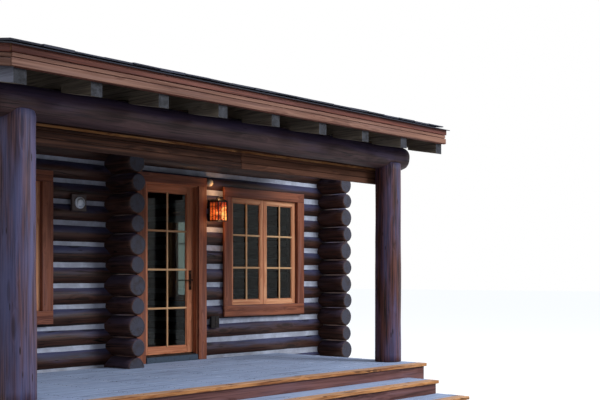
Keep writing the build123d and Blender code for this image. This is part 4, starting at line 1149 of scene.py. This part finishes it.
# %% Steps
STEPS = ("upper_step", "lower_step")
for name in STEPS:
    low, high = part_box(name)
    step = Piece(name + "_boards", nosing_wood, riser_wood, deck_wood)
    tread = high.z - BOARD_T
    for y0, y1, finish in ((low.y, low.y + 0.137, 0), (low.y + 0.143, low.y + 0.280, 2),
                           (low.y + 0.286, high.y, 2)):
        step.board((low.x, y0, tread), (high.x, y1, high.z - chance.uniform(0, 0.0015)), "x", finish, 0.004)
    x0, x1, y0 = low.x + NOSING, high.x - NOSING, low.y + NOSING
    step.board((x0, y0, 0), (x1, y0 + RIM_T, tread), "x", 1)
    for x in (x0, x1 - RIM_T):
        step.board((x, y0 + RIM_T, 0), (x + RIM_T, high.y, tread), "y", 1)
    step.done("cabin", (name,))

# %% Cabin floor
FLOOR_BOARD_W, FLOOR_JOISTS = 0.146, 8
low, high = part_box("cabin_floor")
pine = Piece("cabin_floor_boards", floor_wood)
y = low.y
while y < high.y - 0.01:
    y1 = min(y + FLOOR_BOARD_W - 0.001, high.y)
    pine.board((low.x, y, DECK_Z - BOARD_T), (high.x, y1, DECK_Z), ease=0.0015)
    y += FLOOR_BOARD_W
for i in range(1, FLOOR_JOISTS):
    y = low.y + (high.y - low.y) * i / FLOOR_JOISTS
    pine.board((low.x, y - RIM_T / 2, low.z), (high.x, y + RIM_T / 2, DECK_Z - BOARD_T))
pine.done("cabin", ("cabin_floor",))

# %% [markdown]
# ## Roofs
# Rafters carry planks, and the planks carry felt shingles laid in overlapping rows. A fascia of lapped
# boards closes the rafter tails: a dark upper board over two lighter, narrower ones.

# %% Roof lines
porch_low, porch_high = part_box("porch_roof_boards")
porch_rise, porch_run = porch_high.z - porch_low.z, porch_high.y - porch_low.y
PORCH_PITCH = (porch_rise - ROOF_BOARD_T * steep((porch_rise - ROOF_BOARD_T) / porch_run)) / porch_run
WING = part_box("porch_shingles")[1].x   # beyond it, the main roof's eave is free of the porch
print("roof pitches:", round(PORCH_PITCH, 4), MAIN_PITCH)


def porch_boards_top(y):
    return porch_high.z - PORCH_PITCH * (porch_high.y - y)


def main_boards_top(y):
    return under_boards(y) + ROOF_BOARD_T * steep(MAIN_PITCH)


# %% Fascia boards
# each band's top and foot below the edge, how far it stands back, and its finish
BANDS = ((0.000, 0.066, 0.000, 0), (0.072, 0.104, 0.010, 1), (0.111, 0.172, 0.004, 1))
FASCIA_D, FACING_D = 0.045, 0.021


def fascia_level(piece, start, end, face, out, top, depth=FASCIA_D, raw_end=0.0):
    """Three lapped boards along X, with their upper edge at top; out is the way they face."""
    for z0, z1, back, finish in BANDS:
        near, far = sorted((face - out * back, face - out * depth))
        piece.board((start + back, near, top - z1), (end - back, far, top - z0), "x", finish)
        for x in (start - raw_end, end) if raw_end and not back else ():
            piece.board((x, near + 0.002, top - z1 + 0.004), (x + raw_end, far - 0.002, top - z0 - 0.004),
                        "z", 2, 0.0005)


def fascia_sloped(piece, start, end, face, out, top):
    """The same three boards along Y, where top(y) is their upper edge."""
    lean = Matrix.Translation((0, start, top(start)))
    lean[2][1] = (top(end) - top(start)) / (end - start)
    for z0, z1, back, finish in BANDS:
        near, far = sorted((face - out * back, face - out * FASCIA_D))
        piece.board((near, 0, -z1), (far, end - start, -z0), "y", finish, place=lean)


# %% Fascias and verges
low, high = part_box("porch_fascia")
boards = Piece("porch_fascia_boards", fascia_dark, fascia_light, nosing_wood)
porch_eave = porch_boards_top(porch_low.y)
fascia_level(boards, low.x, high.x, low.y, -1, porch_eave, FACING_D, raw_end=0.001)
boards.board((low.x + 0.046, low.y + 0.022, low.z + 0.004), (high.x - 0.046, low.y + FASCIA_D, porch_eave))
for face, out in ((low.x, -1), (high.x, 1)):
    fascia_sloped(boards, low.y + 0.023, FACE_Y, face, out, porch_boards_top)
boards.done("cabin", ("porch_fascia",))

low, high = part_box("verge_boards")
boards = Piece("verge_board_pairs", fascia_dark, fascia_light)
for face, out in ((low.x, -1), (high.x, 1)):
    for start, end in ((low.y, RIDGE_Y), (RIDGE_Y, high.y)):
        fascia_sloped(boards, start, end, face, out, main_boards_top)
boards.done("cabin", ("verge_boards",))

low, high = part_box("eave_fascias")
boards = Piece("eave_fascia_boards", fascia_dark, fascia_light)
for start, end in ((low.x, -WING), (WING, high.x)):
    fascia_level(boards, start, end, low.y, -1, main_boards_top(low.y + FASCIA_D))
fascia_level(boards, low.x, high.x, high.y, 1, main_boards_top(high.y - FASCIA_D))
boards.done("cabin", ("eave_fascias",))

# %% [markdown]
# Each porch rafter is one outline pulled to its width. The outline has two notches: a seat on the header
# log, and one on the top log of the wall. The outermost side faces are a lighter grey, a painted light of
# the sky that falls on them, and the sawn ends are a dark grey.

# %% Porch rafters
RAFTER_W, RAFTER_D, RAFTER_COUNT = 0.115, 0.250, 9
WALL_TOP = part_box("front_wall_top")[1].z
low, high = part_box("porch_rafters")
seats = (POST_Y - 0.75 * HEADER_R, POST_Y + 0.75 * HEADER_R)


def porch_under(y):
    return porch_boards_top(y) - (ROOF_BOARD_T + RAFTER_D) * steep(PORCH_PITCH)


def porch_over(y):
    return porch_boards_top(y) - ROOF_BOARD_T * steep(PORCH_PITCH) - 0.0005


outline = [(low.y, porch_under(low.y)), (seats[0], porch_under(seats[0])), (seats[0], HEADER_TOP),
           (seats[1], HEADER_TOP), (seats[1], porch_under(seats[1])), (FACE_Y, porch_under(FACE_Y)),
           (FACE_Y, WALL_TOP), (high.y, WALL_TOP), (high.y, porch_over(high.y)), (low.y, porch_over(low.y))]
timbers = Piece("porch_rafter_timbers", rafter_wood, outer_rafter_wood, rafter_end)
for i in range(RAFTER_COUNT):
    x = low.x + RAFTER_W / 2 + i * (high.x - low.x - RAFTER_W) / (RAFTER_COUNT - 1)
    for face in timbers.prism(outline, x - RAFTER_W / 2, x + RAFTER_W / 2):
        # The outermost side faces take the lighter grey, a painted light of the sky.
        outer = face.normal.x < -0.9 and i == 0 or face.normal.x > 0.9 and i == RAFTER_COUNT - 1
        face.material_index = 1 if outer else 2 if face.normal.y < -0.9 else 0
timbers.done("cabin", ("porch_rafters",))


# %% Roof planks
def on_slope(y, top, pitch, up=1):
    """A place on a roof slope: X along the eaves, Y up the slope, Z off the roof; up is 1 towards +Y."""
    turn = Matrix.Rotation(math.atan(pitch), 4, "X")
    turn = turn if up > 0 else Matrix.Rotation(math.pi, 4, "Z") @ turn
    return Matrix.Translation((0, y, top)) @ turn


def on_main(y, up=1):
    return on_slope(y, main_boards_top(y), MAIN_PITCH, up)


def planks(name, node, fields, thick=ROOF_BOARD_T, width=0.150):
    """A roof's planks, on fields of (place, length up the slope, x0, x1)."""
    roof = Piece(name, plank_wood)
    for place, length, x0, x1 in fields:
        count = round(length / width)
        for i in range(count):
            a, b = length * i / count, length * (i + 1) / count
            roof.board((x0, a + 0.0015, -thick), (x1, b - 0.0015, -0.001), "x", 0, 0.005, place)
    roof.done("cabin", (node,))


def main_fields(low, high, short):
    """The front slope: two wings beside the porch roof, and the whole width above the wall."""
    lower = (FRONT_Y - low.y) * steep(MAIN_PITCH)
    wings = [(on_main(low.y), lower, x0, x1) for x0, x1 in ((low.x, -WING), (WING, high.x))]
    return wings + [(on_main(FRONT_Y), (RIDGE_Y - FRONT_Y) * steep(MAIN_PITCH) - short, low.x, high.x)]


def back_field(low, high, short):
    return [(on_main(high.y, -1), (high.y - RIDGE_Y) * steep(MAIN_PITCH) - short, low.x, high.x)]


porch_place = on_slope(porch_low.y, porch_eave, PORCH_PITCH)
planks("porch_roof_planks", "porch_roof_boards",
       [(porch_place, porch_run * steep(PORCH_PITCH) - 0.01, porch_low.x, porch_high.x)])
node = "main_roof_boards_front"
planks("main_roof_planks_front", node, main_fields(*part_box(node), 0.012))
node = "main_roof_boards_back"
planks("main_roof_planks_back", node, back_field(*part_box(node), 0.012))

# %% [markdown]
# Shingles repeat by rule, so Geometry Nodes lay them: a grid of points, one tab on each, every other row
# shifted by half a tab, and each tab tipped and turned a little by a fixed seed. The tone attribute is
# stored on the instances, and Realize Instances carries it into the mesh.

# %% The shingle tree
INTEGER, MATERIAL, GEOMETRY = "NodeSocketInt", "NodeSocketMaterial", "NodeSocketGeometry"


def random_between(low, high, salt):
    return put("FunctionNodeRandomValue", {"data_type": "FLOAT"}, i2=low, i3=high,
               i8=given["Seed"] + float(salt))[1]


def xyz(x, y, z):
    return put("CombineXYZ", X=x, Y=y, Z=z)[0]


rows_tree, given, result = new_tree(
    "shingle_rows", "GeometryNodeTree",
    [("Columns", INTEGER, 10), ("Rows", INTEGER, 10), ("Tab Width", NUMBER, 0.3), ("Exposure", NUMBER, 0.14),
     ("Tab Length", NUMBER, 0.3), ("Thickness", NUMBER, 0.010), ("Tip", NUMBER, 0.03), ("Seed", INTEGER, 3),
     ("Finish", MATERIAL)], [("Geometry", GEOMETRY)])
points = put("GeometryNodePoints", Count=given["Columns"] * given["Rows"])[0]
number = put("GeometryNodeInputIndex")[0]
row = (number / given["Columns"]).math("FLOOR")
column = number - row * given["Columns"]
half_tab = (row.math("MODULO", 2.0) - 0.5) * 0.5
jitter = random_between(-0.016, 0.010, 1)
across = (column + 0.5 + half_tab) * given["Tab Width"] + jitter * 0.3
up_slope = row * given["Exposure"] + (jitter + given["Tab Length"] / 2.0)
points = put("GeometryNodeSetPosition", Geometry=points,
             Position=xyz(across, up_slope, given["Thickness"] * 0.9))[0]
tab_size = xyz(given["Tab Width"] - 0.006, given["Tab Length"], given["Thickness"])
tab = put("GeometryNodeMeshCube", Size=tab_size)[0]
tipped = xyz(given["Tip"] * random_between(-2.2, -0.7, 4), random_between(-0.012, 0.012, 5),
             random_between(-0.012, 0.012, 2))
laid = put("GeometryNodeInstanceOnPoints", Points=points, Instance=tab, Rotation=tipped)[0]
laid = put("GeometryNodeStoreNamedAttribute", {"data_type": "FLOAT", "domain": "INSTANCE"}, Geometry=laid,
           Name="tone", Value=random_between(0.0, 1.0, 3))[0]


def end_tree(instances):
    """Ends a tree as the export needs it: real geometry with its finish."""
    real = put("GeometryNodeRealizeInstances", Geometry=instances)[0]
    feed(result["Geometry"], put("GeometryNodeSetMaterial", Geometry=real, Material=given["Finish"])[0])


end_tree(laid)
print("shingle tree:", len(rows_tree.nodes), "nodes")


# %% Shingles
EXPOSURE, TAB_W, TAB_L, FELT_T = 0.140, 0.300, 0.29, 0.008


def grown(tree, values, points=()):
    """Runs a geometry tree with named inputs, on points if it takes any, and gives its plain mesh."""
    holder = in_scene("holder", bpy.data.meshes.new("holder"))
    holder.data.from_pydata(points, [], [])
    modifier = holder.modifiers.new("grow", "NODES")
    modifier.node_group = tree
    for item in tree.interface.items_tree:
        if item.in_out == "INPUT" and item.name in values:
            modifier[item.identifier] = values[item.name]
    bpy.context.view_layer.update()
    data = bpy.data.meshes.new_from_object(holder.evaluated_get(bpy.context.evaluated_depsgraph_get()))
    bpy.data.objects.remove(holder)
    return data


def shingled(name, node, fields, seed):
    """A roof covering: a felt layer and shingles on each field, as one piece. The lowest row is double."""
    felt = Piece(name, shingle_felt)
    for place, length, x0, x1 in fields:
        felt.board((x0, 0.0, 0.0), (x1, length, FELT_T), "x", 0, 0.002, place, tone=0.2)
        columns, rows = max(1, round((x1 - x0) / TAB_W)), int((length - 0.16) / EXPOSURE) + 1
        width = (x1 - x0) / (columns + 0.5)
        for layer_rows, thick, lift, layer_seed in ((1, 0.014, 0.010, seed + 20), (rows, 0.010, 0.017, seed)):
            data = grown(rows_tree, {"Columns": columns, "Rows": layer_rows, "Tab Width": width,
                                     "Exposure": EXPOSURE, "Tab Length": TAB_L, "Thickness": thick,
                                     "Tip": 0.028, "Seed": layer_seed, "Finish": shingle_felt})
            data.transform(Matrix.Translation((x0 + width * 0.25, 0.010, lift)))
            for vert in data.vertices:
                vert.co.y = min(max(vert.co.y, 0.0), length - 0.002)
                vert.co.x = min(max(vert.co.x, x0 + 0.001), x1 - 0.001)
            data.transform(place)
            felt.mesh.from_mesh(data)
            bpy.data.meshes.remove(data)
    felt.done("cabin", (node,))


low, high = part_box("porch_shingles")
shingled("porch_roof_shingles", "porch_shingles",
         [(on_slope(low.y, porch_boards_top(low.y), PORCH_PITCH),
           (high.y - low.y - 0.01) * steep(PORCH_PITCH), low.x, high.x)], 5)
node = "main_shingles_front"
shingled("main_roof_shingles_front", node, main_fields(*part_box(node), 0.01), 6)
node = "main_shingles_back"
shingled("main_roof_shingles_back", node, back_field(*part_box(node), 0.01), 7)

# %% Ridge cap
CAP_TABS, CAP_TAB_W, CAP_HALF, CAP_DROP, CAP_LEAN = 40, 0.26, 0.130, 0.030, 0.03
low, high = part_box("ridge_cap")
cap = Piece("ridge_cap_shingles", shingle_felt)
for i in range(CAP_TABS):
    x = low.x + (high.x - low.x - CAP_TAB_W) * i / (CAP_TABS - 1)
    for up in (1, -1):
        place = on_slope(RIDGE_Y, high.z - CAP_DROP, MAIN_PITCH, up)
        place = place @ Matrix.Translation((up * x, 0, 0)) @ Matrix.Rotation(up * CAP_LEAN, 4, "Y")
        x0, x1 = sorted((0.0, up * CAP_TAB_W))
        cap.board((x0, -CAP_HALF, 0.008), (x1, 0.0, 0.016), "x", 0, 0.002, place)
cap.done("cabin", ("ridge_cap",))

# %% [markdown]
# ## Small fittings
# A square lantern hangs on a back plate beside the door, with amber panes between iron bars. An outlet
# box sits low on the wall, a round cover on a square box is on the left, and a small round cap sits high
# beside the window.

# %% Lantern
BAR, THIN, WEB = 0.012, 0.003, 0.005   # the frame's bar, and half of a thin bar's two sides
low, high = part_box("lantern_frame")
mid_x, mid_y = (glass_low.x + glass_high.x) / 2, (glass_low.y + glass_high.y) / 2
half = (high.x - low.x) / 2
third = half / 3
z0, z1 = low.z, glass_high.z + BAR
lantern = Piece("wall_lantern", dark_metal)


def lantern_bar(x, y, wide, deep, bottom=z0 + BAR, top=z1 - BAR, axis="z", ease=0.001):
    """A bar round a point in plan, measured from the lantern's middle."""
    x, y = mid_x + x, mid_y + y
    lantern.board((x - wide, y - deep, bottom), (x + wide, y + deep, top), axis, 0, ease)


lantern.board((low.x, high.y - 0.010, z0), (high.x, high.y, z1 + 0.02), "z", 0, 0.002)
for z in (z0, z1 - BAR):
    lantern_bar(0, 0, half, half, z, z + BAR, "x", 0.002)
for sx in (-1, 1):
    for sy in (-1, 1):
        lantern_bar(sx * (half - BAR / 2), sy * (half - BAR / 2), BAR / 2, BAR / 2, ease=0.002)
    for off in (-third, third):
        for sy in (-1, 1):
            lantern_bar(off, sy * (half - WEB), WEB, THIN)
        lantern_bar(sx * (half - WEB), off, THIN, WEB)
for share in (0.24, 0.72):
    z = z0 + share * (z1 - z0)
    for side in (-1, 1):
        lantern_bar(0, side * (half - THIN), half, THIN, z, z + 2 * THIN, "x")
    for side in (-1, 1):
        lantern_bar(side * (half - THIN), 0, THIN, half, z, z + 2 * THIN, "x")
roof_rings = ((0.0, half), (0.3, half * 0.80), (0.62, half * 0.42), (0.66, half * 0.30), (0.95, half * 0.16),
              (1.0, 0.004))
points = [(mid_x + sx * r, mid_y + sy * r, z1 + share * (high.z - z1))
          for share, r in roof_rings for sx, sy in ((-1, -1), (1, -1), (1, 1), (-1, 1))]
lantern.shell(points, points, tube_faces(len(roof_rings), 4, smooth=False))
lantern.done("cabin", ("lantern_frame",))
for z in (z0 - 0.06, high.z + 0.06):
    glow = in_scene("lantern_glow", bpy.data.lights.new("lantern_glow", "POINT"))
    glow.data.energy = 1.5
    glow.data.color = (1.0, 0.52, 0.22)
    glow.data.shadow_soft_size = 0.03
    glow.location = (mid_x, mid_y - 0.03, z)

# %% Outlet box
low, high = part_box("outlet_box")
outlet = Piece("outlet_box_with_cover", dark_metal, nail_metal)
outlet.board((low.x + 0.006, low.y + 0.012, low.z + 0.006), (high.x - 0.006, high.y, high.z - 0.006), "z", 0,
             0.004)
outlet.board((low.x, low.y + 0.004, low.z), (high.x, low.y + 0.012, high.z), "z", 0, 0.002)
middle = (low.x + high.x) / 2
for x0, x1 in ((low.x + 0.008, middle - 0.003), (middle + 0.003, high.x - 0.008)):
    outlet.board((x0, low.y, low.z + 0.012), (x1, low.y + 0.005, high.z - 0.012), "z", 0, 0.002)
    turned(outlet, (x0 + x1) / 2, low.y, high.z - 0.007, ((0.000, 0.003), (0.002, 0.004), (0.005, 0.004)),
           out=1, finish=1, sides=8)
outlet.done("cabin", ("outlet_box",))

# %% Round cover and cap
CAP_X, CAP_UP = 1.43, 2.19   # where the small cap is along the wall, and how far above the deck
low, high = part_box("sounder_box")
box = Piece("square_back_box", dark_plastic)
box.board(low, high, "z", 0, 0.006)
box.done("cabin", ("sounder_box",))
low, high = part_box("sounder")
cover = Piece("round_white_cover", white_plastic)
r = (high.x - low.x) / 2
dome = ((0.0, r), (0.012, r), (0.017, r * 0.96), (0.020, r * 0.86), (0.021, r * 0.80), (0.019, r * 0.76),
        (0.021, r * 0.72), (0.026, r * 0.45), (0.028, 0.004))
turned(cover, (low.x + high.x) / 2, high.y, (low.z + high.z) / 2, dome, sides=32)
cover.done("cabin", ("sounder",))
cap = Piece("small_round_cap", cream_plastic)
turned(cap, CAP_X, FACE_Y + 0.004, DECK_Z + CAP_UP,
       ((0.0, 0.044), (0.030, 0.046), (0.048, 0.040), (0.058, 0.024), (0.061, 0.002)), sides=24)
cap.done("cabin")

# %% [markdown]
# ## Nails
# Casings and deck boards are face nailed. The heads repeat by rule, so a second geometry tree sets a small
# domed head on every point of a list that the script works out from the boards.

# %% The nail head tree
heads_tree, given, result = new_tree(
    "nail_heads", "GeometryNodeTree",
    [("Spots", GEOMETRY), ("Head Radius", NUMBER, 0.004), ("Head Height", NUMBER, 0.002), ("Turn", VECTOR),
     ("Finish", MATERIAL)], [("Geometry", GEOMETRY)])
head = put("GeometryNodeMeshCone", {"fill_type": "NGON"}, Vertices=8, Radius_Top=given["Head Radius"] * 0.6,
           Radius_Bottom=given["Head Radius"], Depth=given["Head Height"])[0]
end_tree(put("GeometryNodeInstanceOnPoints", Points=given["Spots"], Instance=head, Rotation=given["Turn"])[0])


def nailed(name, spots, turn, radius):
    values = {"Head Radius": radius, "Head Height": 0.0024, "Turn": turn, "Finish": nail_metal}
    dress(name, grown(heads_tree, values, spots), "cabin")


# %% Nails in the deck and the steps
BOARD_NAILS, TREAD_NAILS = (0.032, 0.102), (0.040, 0.100, 0.183, 0.243)   # from the front edge
low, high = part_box("porch_deck")
spots = []
for row in range(int((high.y - low.y) / DECK_BOARD_W)):
    for i in range(-4, 5):
        for side in BOARD_NAILS:
            spots.append((i * JOIST_GAP + chance.uniform(-0.006, 0.006), low.y + row * DECK_BOARD_W + side,
                          high.z - 0.0014))
for name in STEPS:
    low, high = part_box(name)
    for side in TREAD_NAILS:
        spots += [(low.x + 0.06 + (high.x - low.x - 0.12) * i / 6, low.y + side, high.z - 0.0012)
                  for i in range(7)]
nailed("deck_nail_heads", spots, (0, 0, 0), 0.0055)

# %% Nails in the casings
WINDOW_NAILS, DOOR_NAILS = (0.028, 0.107), (0.03, 0.10)   # out from the casing's inner edge
spots = []
y = FACE_Y - CASING_T


def beside(x0, x1, near, far, heights):
    """Two nails in each side casing at every height."""
    return [(x, y, z) for z in heights for x in (x0 - near, x0 - far, x1 + near, x1 + far)]


for edges in (left_window, right_window):
    x0, x1 = edges[0] + FRAME_T, edges[1] - FRAME_T
    spots += beside(x0, x1, *WINDOW_NAILS, [WINDOW_Z[0] + 0.10 + 0.21 * i for i in range(7)])
    for i in range(5):
        x = x0 - 0.08 + (x1 - x0 + 0.16) * i / 4
        spots += [(x, y, WINDOW_Z[1] + 0.020), (x, y, WINDOW_Z[0] - 0.015)]
spots += beside(*inner_x, *DOOR_NAILS, [DECK_Z + 0.10 + 0.28 * i for i in range(8)])
nailed("casing_nail_heads", spots, (math.pi / 2, 0, 0), 0.0035)

# %% [markdown]
# ## Finishes for the pieces that stay as the solid model has them
# Main rafters, blocking, footing and panes already have the right shape. They get their finish here, with the
# wood's direction read from Object coordinates.

# %% Carried-over nodes
carried = ((inner_rafter_wood, "main_rafters_front", "main_rafters_back"), (blocking_wood, "eave_blocking"),
           (stone, "foundation"), (window_glass, "front_window_glass", "side_and_back_glass", "door_glass"),
           (amber_glass, "lantern_glass"))
for finish, *names in carried:
    for name in names:
        data = nodes[name].data
        data.materials.clear()
        data.materials.append(finish)
print("carried over:", sum(len(names) for finish, *names in carried), "nodes")

# %% Finish and print the sizes
visual_box = [list(corner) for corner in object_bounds()]
print("visual box", [[round(v, 3) for v in c] for c in visual_box])
